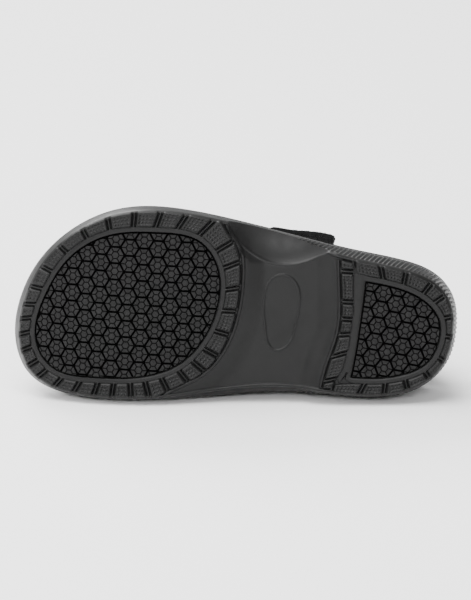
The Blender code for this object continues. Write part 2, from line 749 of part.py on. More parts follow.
def resting_side(points, balance):
    """Outward direction of the hull's flat, on the shoe's inner side, that the weight stands over."""
    work = bmesh.new()
    for point in points:
        work.verts.new(point)
    bmesh.ops.convex_hull(work, input=work.verts)
    bmesh.ops.triangulate(work, faces=work.faces)
    middle = sum((v.co for v in work.verts), Vector()) / len(work.verts)
    best = (-math.inf, None)
    for face in work.faces:
        a, b, c = (v.co.copy() for v in face.verts)
        normal = (b - a).cross(c - a)
        if normal.length < 1e-10:
            continue
        normal.normalize()
        if normal.dot(a - middle) < 0.0:
            normal.negate()
        if normal.y > -0.7:
            continue
        foot = balance + normal * normal.dot(a - balance)
        inside = []
        for p, q, r in ((a, b, c), (b, c, a), (c, a, b)):
            inward = (q - p).cross(normal).normalized()
            if inward.dot(r - p) < 0.0:
                inward.negate()
            inside.append(inward.dot(foot - p))
        if min(inside) > best[0]:
            best = (min(inside), normal)
    work.free()
    return best[1]


def lay_down(items, densities):
    """Parents the shoe to an empty that lays it on its inner side, with the origin under its box."""
    points = [v.co.copy() for item in items for v in item.data.vertices]
    upright = Matrix(((-1.0, 0.0, 0.0), (0.0, 0.0, 1.0), (0.0, 1.0, 0.0)))
    down = upright @ resting_side(points, balance_point(items, densities))
    turn = down.rotation_difference(Vector((0.0, 0.0, -1.0))).to_matrix() @ upright
    placed = np.array([turn @ p for p in points])
    low, high = placed.min(axis=0), placed.max(axis=0)
    rest = bpy.data.objects.new("rest_pose", None)
    rest.matrix_world = turn.to_4x4()
    rest.location = (-0.5 * (low[0] + high[0]), -0.5 * (low[1] + high[1]), -low[2])
    bpy.context.scene.collection.objects.link(rest)
    for item in items:
        item.parent = rest
    bpy.context.view_layer.update()


def main():
    clean_scene()
    heel_pad = joined_outline(HEEL_PAD_BACK, HEEL_PAD_FRONT, 20, 6)
    solids = {
        "sole": build_sole(),
        "upper": build_upper(),
        "insole": build_insole(),
        "forefoot_tread": build_pad("forefoot_tread", outline(FORE_PAD, 40)),
        "heel_tread": build_pad("heel_tread", heel_pad),
        "strap": build_strap(),
    }
    collection = bpy.data.collections.new("chef_clog")
    bpy.context.scene.collection.children.link(collection)
    for name, colour, roughness, _ in FINISHES:
        paint(solids[name], colour, roughness)
        bpy.context.scene.collection.objects.unlink(solids[name])
        collection.objects.link(solids[name])
    lay_down([solids[row[0]] for row in FINISHES], [row[3] for row in FINISHES])


main()
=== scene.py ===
"""Looks of the clog, a left shoe that lies on its inner side.

Every piece is modelled in full detail in shoe millimetres: x from heel to toe, y to the outer side, z up
from the tread. The finished pieces are laid down as the solids are.
"""
import json
import math

import bmesh
import bpy
import numpy as np
from mathutils import Matrix, Vector

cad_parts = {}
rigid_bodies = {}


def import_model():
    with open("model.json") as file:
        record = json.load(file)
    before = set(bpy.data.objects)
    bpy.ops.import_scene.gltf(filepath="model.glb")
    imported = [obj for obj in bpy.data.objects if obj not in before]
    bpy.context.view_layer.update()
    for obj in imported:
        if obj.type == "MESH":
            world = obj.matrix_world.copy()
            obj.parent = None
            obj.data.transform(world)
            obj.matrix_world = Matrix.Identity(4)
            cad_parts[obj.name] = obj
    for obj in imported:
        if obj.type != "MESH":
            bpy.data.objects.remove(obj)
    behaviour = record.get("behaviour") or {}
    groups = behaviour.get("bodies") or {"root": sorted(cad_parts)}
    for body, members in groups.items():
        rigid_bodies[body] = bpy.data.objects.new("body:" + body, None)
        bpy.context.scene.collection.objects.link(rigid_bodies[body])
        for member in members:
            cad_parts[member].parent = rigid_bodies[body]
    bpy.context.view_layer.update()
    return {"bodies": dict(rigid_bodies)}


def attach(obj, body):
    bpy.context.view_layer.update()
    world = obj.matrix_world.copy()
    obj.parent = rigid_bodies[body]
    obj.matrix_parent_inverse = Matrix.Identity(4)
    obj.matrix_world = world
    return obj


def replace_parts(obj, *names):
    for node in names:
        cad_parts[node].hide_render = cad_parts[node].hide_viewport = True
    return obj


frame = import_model()
BODY = next(iter(frame["bodies"]))

MM = 0.001

# How the standing shoe lies in the row frame
REST = Matrix((
    (-0.99998355, -0.00571811, 0.00039443, 0.13227387),
    (-0.00039444, 0.13730544, 0.99052864, -0.0428733),
    (-0.00571811, 0.99051225, -0.13730542, 0.05326814),
    (0.0, 0.0, 0.0, 1.0),
))

# Driving sizes of the shoe, in millimetres
GAP = 0.3
WALL = 3.5
HEEL_HEIGHT = 26.0
BALL_HEIGHT = 15.0
TOE_HEIGHT = 11.0
SPRING_START = 185.0
SPRING_RADIUS = 150.0

# Where the joint with the upper falls to its height at the ball and at the toe: start and length
BALL_FALL = (50.0, 130.0)
TOE_FALL = (190.0, 70.0)

# Heights of the tread, from the lug faces up, and the length of the ramps up to the raised shank
GROOVE_FLOOR = 2.2
RIM_FACE = 1.1
PAD_FACE = 0.6
POCKET_FLOOR = 3.8
SIDE_START = 3.0
SHANK_RISE = 4.5
SHANK_RAMP = 14.0

# How far outside a pad's outline the sole's own underside is sunk, and how far below the pocket's floor
SUNK_BORDER = 1.2
SUNK_DEPTH = 0.4

# Lugs: width of the channel between two, distance from the sole's edge, how far the foot stands out,
# rounding of the corners, and where the stippled field starts and how fast it comes in
CHANNEL = 1.9
LUG_INSET = 0.3
LUG_FOOT = 0.45
LUG_CORNER = 1.4
FIELD_START = 1.3
FIELD_FADE = 0.6

# Section of a lug from its side towards its middle: distance in from the top's edge, and height
LUG_SECTION = ((-LUG_FOOT, 2.6), (-0.25, 1.7), (0.05, 1.0), (0.4, 0.45), (0.85, 0.1), (1.15, 0.0),
               (1.45, 0.1), (1.9, 0.4))

# Flat border round each pad: how far it reaches and how far out the lugs behind it start
FORE_PLATE = 3.0
FORE_LUGS = 2.5
HEEL_PLATE = 3.3
HEEL_LUGS = 2.9

# Sections of the low forms on the tread, distance across and height: the web in a channel, the rails at the
# ends of the shank, the bead round the scoop and the oval line
WEB_BASE = 2.3
WEB_SECTION = ((-0.9, 0.0), (-0.6, 0.9), (-0.35, 1.4), (0.0, 1.55), (0.35, 1.4), (0.6, 0.9), (0.9, 0.0))
RAIL_BASE = 2.5
RAIL_SECTION = ((-1.6, -1.2), (-1.1, 0.4), (-0.75, 1.0), (-0.4, 1.3), (0.0, 1.4), (0.4, 1.3), (0.75, 1.0),
                (1.1, 0.2), (1.4, -1.0))
BEAD_SECTION = ((-1.2, -0.3), (-0.8, 0.15), (-0.4, 0.42), (0.0, 0.52), (0.4, 0.42), (0.8, 0.15),
                (1.2, -0.3))
OVAL_SECTION = ((-0.9, -0.1), (-0.55, 0.15), (-0.2, 0.42), (0.1, 0.52), (0.4, 0.45), (0.8, 0.2),
                (1.2, -0.1))

# Rounded lip from the underside to the side wall, inset from the edge and height, and the wall's inset at
# shares of its height, which leaves a shadow line under the upper
LIP_SECTION = ((2.4, 2.2), (2.0, 1.6), (1.7, 1.3), (1.2, 1.2), (0.7, 1.4), (0.25, 2.1), (0.0, 3.0))
WALL_SHARES = (0.0, 0.72, 0.76, 0.82, 0.9, 1.0)
WALL_INSETS = (0.0, 0.0, 0.05, 0.1, 0.15, 0.3)

# The shoe's middle line, which places on its edge are drawn in to: x and y
SPINE_X = (34.0, 70.0, 120.0, 200.0, 228.0)
SPINE_Y = (-8.0, -6.0, 4.0, 9.0, 6.0)

# Upper: how its wall leaves the parting line, the height of its rounded lip, and its stations and steps
WALL_HANDLE = 0.42
WALL_LEAN = 0.14
LIP_RISE = 1.2
UPPER_STATIONS = 420
UPPER_STEPS = 44

# Footbed: share of the way out from the middle line, and thickness; and its gap to the upper
FOOTBED_SECTION = ((1.0, 4.6), (0.985, 5.3), (0.95, 5.35), (0.9, 4.95), (0.8, 4.1), (0.7, 3.6), (0.5, 3.3),
                   (0.3, 3.2), (0.0, 3.2))
FOOTBED_GAP = 1.0

# Ribs round the side of the heel: distance, height, slant, the shares of the wall's height that they cover,
# how far forward they reach and how they fade out there
RIB_PITCH = 2.7
RIB_RELIEF = 1.1
RIB_SLANT = -4.0
RIB_LOW = 0.02
RIB_HIGH = 0.72
RIB_FRONT = 100.0
RIB_FADE = 14.0

# Stations round the shoe. Columns: edge x y, flare, crown x y z, collar x y z
SHOE_ROWS = (
    (2.0, -6.0, 2.1, 3.0, -6.5, 46.0, 8.0, -7.0, 51.0),
    (7.0, -26.5, 2.2, 6.5, -25.5, 46.5, 12.0, -23.0, 51.2),
    (22.0, -41.3, 2.4, 23.0, -41.0, 47.5, 27.0, -36.0, 52.0),
    (45.0, -47.3, 2.4, 46.0, -46.5, 50.0, 49.0, -41.0, 54.5),
    (72.0, -45.9, 2.8, 73.0, -46.0, 53.0, 76.0, -40.5, 59.0),
    (107.0, -41.9, 4.6, 106.0, -45.0, 58.0, 103.0, -38.5, 67.0),
    (140.0, -43.8, 4.2, 130.0, -42.0, 66.0, 123.0, -32.0, 77.0),
    (175.0, -47.6, 2.6, 158.0, -45.0, 73.0, 134.0, -25.0, 85.5),
    (210.0, -48.0, 2.0, 184.0, -43.0, 73.0, 141.0, -17.5, 90.0),
    (238.0, -44.0, 2.0, 204.0, -34.0, 70.0, 144.5, -11.0, 91.8),
    (255.5, -34.5, 2.0, 219.0, -20.0, 65.5, 146.0, -5.0, 92.6),
    (262.8, -16.5, 2.0, 229.0, -9.0, 65.0, 146.8, -1.5, 93.0),
    (260.5, 6.0, 2.0, 227.0, 6.0, 65.0, 146.6, 2.5, 92.8),
    (249.5, 30.5, 1.6, 217.0, 23.0, 68.0, 145.6, 8.0, 92.0),
    (229.0, 51.5, 1.2, 203.0, 40.0, 71.0, 143.0, 15.0, 90.0),
    (200.0, 64.3, 0.9, 182.0, 53.0, 73.0, 137.5, 23.5, 86.5),
    (163.0, 64.0, 0.5, 155.0, 55.0, 70.0, 128.0, 31.0, 79.5),
    (125.0, 55.3, 0.4, 124.0, 47.5, 62.0, 113.0, 35.0, 70.0),
    (92.0, 45.2, 1.3, 93.0, 41.5, 56.0, 92.0, 35.0, 62.5),
    (62.0, 36.2, 2.2, 63.0, 35.0, 52.0, 64.0, 30.0, 57.0),
    (33.0, 29.4, 2.5, 35.0, 28.5, 49.0, 36.0, 23.5, 53.0),
    (12.0, 19.8, 2.4, 13.5, 18.5, 47.0, 17.0, 14.0, 51.5),
    (3.3, 7.0, 2.2, 4.5, 6.5, 46.0, 10.0, 4.5, 51.0),
)

# Outlines on the tread, x and y
FORE_PAD = ((142.0, 29.0), (141.8, 12.0), (151.0, -12.0), (167.0, -28.0), (190.0, -35.2), (220.0, -35.6),
            (240.0, -32.0), (250.5, -21.0), (252.5, -6.0), (246.0, 14.0), (232.0, 36.0), (208.0, 50.5),
            (178.0, 52.3), (153.0, 46.5))
HEEL_PAD_BACK = ((54.8, 22.2), (35.0, 17.8), (19.0, 9.8), (10.6, -1.5), (10.8, -14.0), (18.6, -28.0),
                 (33.0, -34.6), (48.0, -36.6), (63.9, -35.9))
HEEL_PAD_FRONT = ((63.9, -35.9), (60.9, -20.8), (58.7, -7.0), (56.4, 9.0), (54.8, 22.2))
SHANK_FRONT = ((140.0, 66.0), (136.5, 54.5), (129.2, 42.0), (127.5, 27.0), (130.0, 5.0), (139.0, -19.0),
               (151.0, -33.0), (166.0, -41.0), (184.0, -50.0))
SHANK_REAR = ((70.6, 48.0), (70.8, 28.0), (70.3, 10.0), (72.0, -9.0), (78.7, -28.8), (84.0, -52.0))

# Channels between lugs, in degrees round the middle of each pad
FORE_MIDDLE = np.array([198.0, 8.0])
FORE_CHANNELS = (10, 24, 42, 61, 79, 96, 111, 124, 136, 149, 159, 171, 183, 196, 209, 220, 231, 244, 256,
                 267, 279, 290, 301, 311, 320, 327, 335, 343, 351, 359, 370)
HEEL_MIDDLE = np.array([38.0, -8.0])
HEEL_CHANNELS = (61, 79, 102, 128, 145, 166, 186, 211, 233, 257, 279, 299, 316)

# Corners that close the heel ring's inner outline in front, and how far its end channels lean, in degrees
HEEL_CORNERS = ((74.5, -39.6), (61.2, 26.6))
HEEL_LEANS = (-5.4, 3.8)

# The heel ring's front column: its rear border, and where its channels cross the shoe, y at each border
COLUMN_REAR = np.array([(61.9, 40.0), (61.9, 4.0), (63.1, -5.0), (64.6, -16.0), (68.2, -30.0),
                        (74.5, -40.0), (76.0, -50.0)])
COLUMN_CHANNELS = ((34.4, 36.6), (28.0, 28.4), (9.6, 10.0), (-0.9, -0.5), (-9.6, -10.2), (-20.5, -23.5),
                   (-36.4, -38.2), (-43.9, -43.3))

# Scooped hollow at the outer edge of the shank, how softly it starts, and the ridge along its rim
SCOOP_CENTRE = (102.5, 58.0, 3.0)
SCOOP_RADII = (34.0, 28.5, 10.0)
SCOOP_BLEND = 0.9
SCOOP_RIDGE = ((136.8, 55.5), (130.4, 46.2), (124.5, 40.5), (118.3, 36.2), (112.0, 33.3), (102.3, 31.8),
               (93.6, 32.6), (85.0, 35.4), (78.1, 37.8), (71.6, 38.4))

# Oval line on the shank, round a bare place
CAPSULE = ((104.3, 25.5), (97.4, 22.0), (94.4, 14.5), (94.6, 5.5), (96.8, -5.0), (98.8, -12.5),
           (103.0, -18.0), (109.0, -19.6), (113.0, -15.5), (114.6, -6.0), (115.5, 3.0), (115.0, 12.0),
           (113.1, 19.5), (109.3, 24.0))

# Strap: its width and thickness, the slot, both ends, its height, its place inside the wall and its fuzz
STRAP_WIDTH = 20.0
STRAP_THICK = 2.0
SLOT_X = 112.0
FLAP_END_X = 72.5
INNER_END_X = 98.0
STRAP_FRONT_Z = 54.0
STRAP_BACK_Z = 73.0
INNER_OUT = -6.2
SLOT_HALF = 1.8
FUZZ = 0.13

# The strap's flap: distance back from its end, distance out from the wall, thickness and width
FLAP_ROWS = ((0.0, 5.5, 1.2, 12.5), (0.5, 5.6, 2.6, 15.5), (1.3, 5.8, 3.7, 18.2), (2.8, 5.8, 4.4, 20.0),
             (9.0, 5.3, 4.4, 20.0), (16.0, 4.4, 4.1, 20.0), (23.0, 3.3, 3.6, 20.0), (29.0, 2.5, 3.2, 20.0))

# The strap's turn through the slot: distance from the slot, distance out from the wall and thickness
TURN_ROWS = ((4.5, 2.1, 3.0), (2.2, 2.0, 2.4), (0.7, 1.4, 2.0), (0.0, 0.1, 2.0), (0.0, -3.6, 2.0),
             (0.7, -5.1, 2.0), (2.2, -6.0, 2.0), (5.0, -6.2, 2.0))

# Hexagonal tread: pitch across a cell, the grooves round it and inside it, its levels, the draft of its
# blocks, and the border that stays free of cells
HEX_PITCH = 9.8
HEX_GROOVE = 1.15
SPOKE_GROOVE = 0.55
HUB_ACROSS = 3.5
HEX_FLOOR = 3.1
FINE_FLOOR = 1.1
CELL_DRAFT = 0.04
ROOT_DRAFT = 0.1
CELL_BORDER = 0.6

# Pieces of cells that are cut at a pad's edge: the smallest area kept and the shortest side
SMALLEST_CELL = 0.35
SHORTEST_SIDE = 0.12

# A cell whose middle is farther than this from a pad's edge, and outside it, has no part on the pad
CELL_REACH = 7.0

# Painted shade of the tread's rubber in the deep grooves and in the fine ones, as shares of its colour
GROOVE_PAINTED_SHADE = 0.09
FINE_GROOVE_PAINTED_SHADE = 0.28

# Colours
SOLE_COLOUR = (0.0052, 0.0052, 0.0052)
UPPER_COLOUR = (0.0055, 0.0055, 0.0056)
FOOTBED_COLOUR = (0.009, 0.009, 0.009)
RUBBER_COLOUR = (0.0165, 0.0165, 0.0165)
STRAP_COLOUR = (0.0105, 0.0105, 0.0108)
FLOOR_COLOUR = (0.95, 0.95, 0.95)

# Fine relief, in metres: pitch and depth of the stipple, depth of the grain and of the strap's pile, and
# pitch of its weave along and across
STIPPLE_PITCH = 0.0021
STIPPLE_DEPTH = 0.0006
GRAIN_DEPTH = 0.0003
PILE_DEPTH = 0.0006
WEAVE_ALONG = 0.0011
WEAVE_ACROSS = 0.0008

# Lights: name, place, size in metres and power in watts. They face a point in the middle of the shoe
LIGHTS = (("top_light", (-0.5, -0.2, 1.9), (2.4, 1.6), 95.0),
          ("back_light", (-1.1, 2.3, 1.9), (1.8, 1.5), 130.0),
          ("front_light", (0.0, -2.2, 1.0), (1.0, 0.5), 32.0),
          ("left_light", (-1.6, -0.9, 0.9), (0.7, 0.7), 16.0))
LIT_POINT = (0.0, 0.0, 0.06)
WORLD_LIGHT = 0.65
FLOOR_HALF = 6.0

# Camera: view down on the floor in degrees; distance, the point that it faces, how far its picture is moved
# up from there and the height that the frame shows, in metres; and the sensor's width in millimetres
CAMERA_DOWN = 15.9
CAMERA_FAR = 5.0
CAMERA_TARGET = (-0.00015, -0.0430, 0.0533)
CAMERA_LIFT = 0.0107
FRAME_HEIGHT = 0.358
SENSOR = 36.0


def smooth(value):
    """Eases from 0 to 1."""
    value = np.clip(value, 0.0, 1.0)
    return value * value * (3.0 - 2.0 * value)


def unit(vectors):
    """Vectors of length one."""
    return vectors / np.linalg.norm(vectors, axis=-1, keepdims=True)


def rays(angles):
    """Unit vectors at some angles."""
    return np.column_stack([np.cos(angles), np.sin(angles)])


def rightwards(along):
    """Vectors turned a quarter turn to the right."""
    return np.column_stack([along[:, 1], -along[:, 0]])


def cross(a, b):
    """Cross product of flat vectors, with a plus sign where b points to the left of a."""
    return a[..., 0] * b[..., 1] - a[..., 1] * b[..., 0]


def run_along(line):
    """Distance along a run of points, at each of them."""
    return np.concatenate([[0.0], np.cumsum(np.linalg.norm(np.diff(line, axis=0), axis=1))])


def spline_through(rows, closed):
    """Cubic spline through rows, paced by the distance between their first two columns."""
    rows = np.array(rows, float)
    if closed:
        rows = np.vstack([rows, rows[:1]])
    steps = np.linalg.norm(np.diff(rows[:, :2], axis=0), axis=1)
    knots = run_along(rows[:, :2])
    slopes = np.diff(rows, axis=0) / steps[:, None]
    last = len(knots) - 1
    matrix = np.zeros((last + 1, last + 1))
    right = np.zeros_like(rows)
    for i in range(1, last):
        matrix[i, i - 1:i + 2] = steps[i - 1], 2.0 * (steps[i - 1] + steps[i]), steps[i]
        right[i] = 6.0 * (slopes[i] - slopes[i - 1])
    if closed:
        matrix[0, 0], matrix[0, last] = 1.0, -1.0
        matrix[last, 0], matrix[last, 1] = 2.0 * steps[0], steps[0]
        matrix[last, last - 1], matrix[last, last] = steps[-1], 2.0 * steps[-1]
        right[last] = 6.0 * (slopes[0] - slopes[-1])
    else:
        matrix[0, 0] = matrix[last, last] = 1.0
    bends = np.linalg.solve(matrix, right)

    def at(share):
        distance = share * knots[-1]
        i = np.clip(np.searchsorted(knots, distance, side="right") - 1, 0, last - 1)
        b = ((distance - knots[i]) / steps[i])[:, None]
        a = 1.0 - b
        curve = (a ** 3 - a) * bends[i] + (b ** 3 - b) * bends[i + 1]
        return a * rows[i] + b * rows[i + 1] + curve * steps[i][:, None] ** 2 / 6.0
    return at


def open_curve(rows, count):
    """Rows at even steps along an open spline, from end to end."""
    return spline_through(rows, closed=False)(np.linspace(0.0, 1.0, count))


SHOE = spline_through(SHOE_ROWS, closed=True)


def outline_area(points):
    """Area of a closed outline, with a plus sign where it runs anticlockwise."""
    return 0.5 * float(np.sum(cross(points, np.roll(points, -1, axis=0))))


def anticlockwise(points):
    """An outline, turned round where it runs clockwise."""
    return points[::-1] if outline_area(points) < 0.0 else points


def edge_rows(shares):
    """The shoe's rows at some stations, and unit vectors across its edge, pointing out."""
    step = 0.0005
    along = SHOE((shares + step) % 1.0)[:, :2] - SHOE((shares - step) % 1.0)[:, :2]
    return SHOE(shares % 1.0), rightwards(unit(along))


def spine_of(edge):
    """The places on the shoe's middle line that places on its edge are drawn in to."""
    x = np.clip(edge[:, 0], SPINE_X[0], SPINE_X[-1])
    return np.column_stack([x, np.interp(x, SPINE_X, SPINE_Y)])


def toe_rise(x):
    """How far the toe spring lifts the shoe at x."""
    run = np.clip(x - SPRING_START, 0.0, 0.95 * SPRING_RADIUS)
    return SPRING_RADIUS - np.sqrt(SPRING_RADIUS ** 2 - run ** 2)


def parting(x):
    """Height of the joint between sole and upper, without the toe spring."""
    height = HEEL_HEIGHT - (HEEL_HEIGHT - BALL_HEIGHT) * smooth((x - BALL_FALL[0]) / BALL_FALL[1])
    return height - (BALL_HEIGHT - TOE_HEIGHT) * smooth((x - TOE_FALL[0]) / TOE_FALL[1])


def line_distance(points, line):
    """Distances from points to a run of straight pieces, with a plus sign on the run's left side."""
    best = np.full(len(points), np.inf)
    signed = np.zeros(len(points))
    for a, b in zip(line[:-1], line[1:]):
        span = b - a
        share = np.clip(((points - a) @ span) / (span @ span), 0.0, 1.0)
        gap = np.linalg.norm(points - a - share[:, None] * span, axis=1)
        nearer = gap < best
        best = np.where(nearer, gap, best)
        signed = np.where(nearer, np.copysign(gap, cross(span, points - a)), signed)
    return signed


FRONT_LINE = open_curve(SHANK_FRONT, 61)
REAR_LINE = open_curve(SHANK_REAR, 41)
ROUND = SHOE(np.arange(2000) / 2000.0)[:, :2]
PERIMETER = float(np.sum(np.linalg.norm(np.roll(ROUND, -1, axis=0) - ROUND, axis=1)))
FORE_OUTLINE = spline_through(FORE_PAD, closed=True)(np.arange(240) / 240.0)
HEEL_OUTLINE = np.vstack([spline_through(HEEL_PAD_BACK, closed=False)(np.arange(120) / 120.0),
                          spline_through(HEEL_PAD_FRONT, closed=False)(np.arange(40) / 40.0)])


def shank_rise(points):
    """How far the waist of the sole is raised between the two rings of lugs."""
    depth = np.minimum(-line_distance(points, FRONT_LINE), line_distance(points, REAR_LINE))
    return SHANK_RISE * smooth(depth / SHANK_RAMP)


def scoop_height(points):
    """Height of the scoop's surface, far below the tread outside it."""
    u = (points[:, 0] - SCOOP_CENTRE[0]) / SCOOP_RADII[0]
    v = (points[:, 1] - SCOOP_CENTRE[1]) / SCOOP_RADII[1]
    inside = 1.0 - u * u - v * v
    return np.where(inside > 0.0, SCOOP_CENTRE[2] + SCOOP_RADII[2] * np.sqrt(np.maximum(inside, 0.0)), -9.0)


def hollowed(points, height):
    """A surface's height with the scoop cut in: the larger of both heights, with a rounded change."""
    scoop = scoop_height(points)
    share = np.clip(0.5 + 0.5 * (scoop - height) / SCOOP_BLEND, 0.0, 1.0)
    return height * (1.0 - share) + scoop * share + SCOOP_BLEND * share * (1.0 - share) * 0.5


def underside(points):
    """Height of the sole's underside between its raised features, sunk below the pads."""
    height = hollowed(points, GROOVE_FLOOR + shank_rise(points))
    for outline in (FORE_OUTLINE, HEEL_OUTLINE):
        sunk = np.maximum(height, POCKET_FLOOR + SUNK_DEPTH)
        height = np.where(within(points, grown(outline, SUNK_BORDER)), sunk, height)
    return height


def within(points, loop):
    """Whether points lie inside a closed outline."""
    turns = np.zeros(len(points), int)
    for a, b in zip(loop, np.roll(loop, -1, axis=0)):
        if a[1] == b[1]:
            continue
        crosses = (a[1] > points[:, 1]) != (b[1] > points[:, 1])
        at = a[0] + (points[:, 1] - a[1]) / (b[1] - a[1]) * (b[0] - a[0])
        turns += crosses & (at > points[:, 0])
    return turns % 2 == 1


def raised(places, height):
    """Points over places on the tread, at one height or a height for each, with the toe spring."""
    x, y, z = np.broadcast_arrays(places[:, 0], places[:, 1], height)
    return np.stack([x, y, z + toe_rise(x)], axis=-1)


def grown(points, width):
    """An outline moved outwards."""
    along = unit(np.roll(points, -1, axis=0) - np.roll(points, 1, axis=0))
    turn = 1.0 if outline_area(points) > 0.0 else -1.0
    return points + turn * width * rightwards(along)


def placed(name, data):
    """A new object in the scene."""
    item = bpy.data.objects.new(name, data)
    bpy.context.scene.collection.objects.link(item)
    return item


class Builder:
    """Collects points, faces and texture places of one piece."""

    def __init__(self):
        self.points = []
        self.faces = []
        self.places = []
        self.count = 0

    def add(self, points, faces, places=None):
        """Adds points in shoe millimetres, faces that count from them and a texture place for each point.
        A place holds two distances for the layer "place" and a value for the layer
        "painted_shade_and_stipple_mask":
        painted shade on the pads, the stipple's mask on the lugs."""
        points = np.asarray(points, float).reshape(-1, 3)
        if places is None:
            places = np.zeros((len(points), 3))
        self.points.append(points)
        self.faces += [tuple(int(i) + self.count for i in face) for face in faces]
        self.places.append(np.asarray(places, float).reshape(-1, 3))
        self.count += len(points)

    def grid(self, points, closed_u=False, closed_v=False, places=None, turned=False):
        """Adds a sheet of quads over points in rows (v) and columns (u)."""
        rows, columns = points.shape[:2]
        faces = []
        for v in range(rows if closed_v else rows - 1):
            for u in range(columns if closed_u else columns - 1):
                a = v * columns + u
                b = v * columns + (u + 1) % columns
                c = ((v + 1) % rows) * columns + (u + 1) % columns
                d = ((v + 1) % rows) * columns + u
                faces.append((a, d, c, b) if turned else (a, b, c, d))
        self.add(points, faces, places)

    def mesh(self, name):
        """A mesh of what was added, in metres."""
        mesh = bpy.data.meshes.new(name)
        mesh.from_pydata([tuple(MM * v for v in p) for p in np.vstack(self.points)], [], self.faces)
        return mesh

    def build(self, name, material, auto_smooth):
        """Makes the piece and lays it in the row frame."""
        mesh = self.mesh(name)
        places = np.vstack(self.places)
        loops = np.zeros(len(mesh.loops), np.int32)
        mesh.loops.foreach_get("vertex_index", loops)
        # The third value is painted shade on the pads' blocks and floors, and the stipple's mask on the lugs
        for layer, columns in (("place", (0, 1)), ("painted_shade_and_stipple_mask", (2, 2))):
            values = places[loops][:, columns].astype(np.float32)
            mesh.uv_layers.new(name=layer).data.foreach_set("uv", values.ravel())
        mesh.transform(REST)
        mesh.materials.append(material)
        mesh.polygons.foreach_set("use_smooth", [True] * len(mesh.polygons))
        mesh.set_sharp_from_angle(angle=math.radians(auto_smooth))
        item = placed(name, mesh)
        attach(item, BODY)
        return item


def sweep(builder, line, profile, floor, closed=False, ends=0.0):
    """A low form along a run of points. The profile holds distance across and height, floor gives the base,
    and ends is the length over which it sinks away at both ends."""
    along = np.gradient(line, axis=0)
    if closed:
        along = np.roll(line, -1, axis=0) - np.roll(line, 1, axis=0)
    across = rightwards(unit(along))
    fade = np.ones(len(line))
    if ends > 0.0:
        run = run_along(line)
        fade = smooth(run / ends) * smooth((run[-1] - run) / ends)
    rows = []
    for out, height in profile:
        place = line + across * out
        rows.append(raised(place, floor(place) - fade * height))
    builder.grid(np.array(rows), closed_u=closed)


def sole_body(builder):
    """The sole's underside, its lip, its side wall with the ribs and its top."""
    ribs_from = share_at(RIB_FRONT, True) - 1.0
    ribs_to = share_at(RIB_FRONT, False)
    ribs_run = (ribs_to - ribs_from) * PERIMETER
    rib_count = round(ribs_run / RIB_PITCH)
    dense = ribs_from + (ribs_to - ribs_from) * np.arange(rib_count * 6) / (rib_count * 6.0)
    plain = np.linspace(ribs_to, 1.0 + ribs_from, 420, endpoint=False)
    shares = np.concatenate([dense, plain])
    rows, out = edge_rows(shares % 1.0)
    phase = (shares - ribs_from) * PERIMETER / (ribs_run / rib_count)
    rib_here = np.where(shares < ribs_to, 1.0, 0.0)
    edge = rows[:, :2]
    spine = spine_of(edge)
    rings = []
    inner = edge - LIP_SECTION[0][0] * out
    for share in np.linspace(0.0, 1.0, 36):
        place = spine + share * (inner - spine)
        rings.append(raised(place, underside(place)))
    for inset, level in open_curve(LIP_SECTION, 13)[1:]:
        place = edge - inset * out
        rings.append(raised(place, hollowed(place, level + shank_rise(place))))
    rise = shank_rise(edge)
    for height in np.concatenate([np.linspace(0.03, 0.14, 3), np.linspace(0.17, 0.70, 11),
                                  np.linspace(0.73, 1.0, 9)]):
        part_way = (1.0 - height) * rise
        level = SIDE_START + part_way + height * (parting(edge[:, 0]) - SIDE_START - part_way)
        relief = smooth((height - RIB_LOW) / 0.08) * smooth((RIB_HIGH - height) / 0.06) * rib_here
        relief = relief * smooth((RIB_FRONT - edge[:, 0]) / RIB_FADE)
        slant = RIB_SLANT * (height - RIB_LOW) / (RIB_HIGH - RIB_LOW)
        wave = np.abs(np.sin(math.pi * (phase + slant / RIB_PITCH)))
        inset = np.interp(height, WALL_SHARES, WALL_INSETS)
        flare = rows[:, 2] * math.sin(0.5 * math.pi * height)
        place = edge + out * (flare - inset + RIB_RELIEF * relief * (wave - 0.5))[:, None]
        rings.append(raised(place, hollowed(place, level)))
    for share in (0.96, 0.72, 0.3, 0.0):
        place = spine + share * (edge + out * (rows[:, 2] - WALL_INSETS[-1])[:, None] - spine)
        rings.append(raised(place, parting(place[:, 0])))
    builder.grid(np.array(rings), closed_u=True)


def share_at(x, outer_side):
    """The station, as a share of the way round, where the edge passes x on one side of the shoe."""
    if outer_side:
        shares = np.linspace(0.6, 1.0, 400)[:380]
        return float(np.interp(-x, -SHOE(shares)[:, 0], shares))
    shares = np.linspace(0.0, 0.4, 400)
    return float(np.interp(x, SHOE(shares)[:, 0], shares))


def reach(middle, angles, line):
    """How far rays from the middle run before they meet a run of straight pieces."""
    best = np.full(len(angles), np.inf)
    aim = rays(angles)
    for a, b in zip(line[:-1], line[1:]):
        span = b - a
        turn = cross(aim, span)
        turn = np.where(np.abs(turn) < 1e-9, 1e-9, turn)
        along = cross(a - middle, span) / turn
        share = cross(a - middle, aim) / turn
        hit = (along > 0.0) & (share >= 0.0) & (share <= 1.0)
        best = np.where(hit, np.minimum(best, along), best)
    return best


def closed_line(points):
    """An outline with its first point repeated at the end."""
    return np.vstack([points, points[:1]])


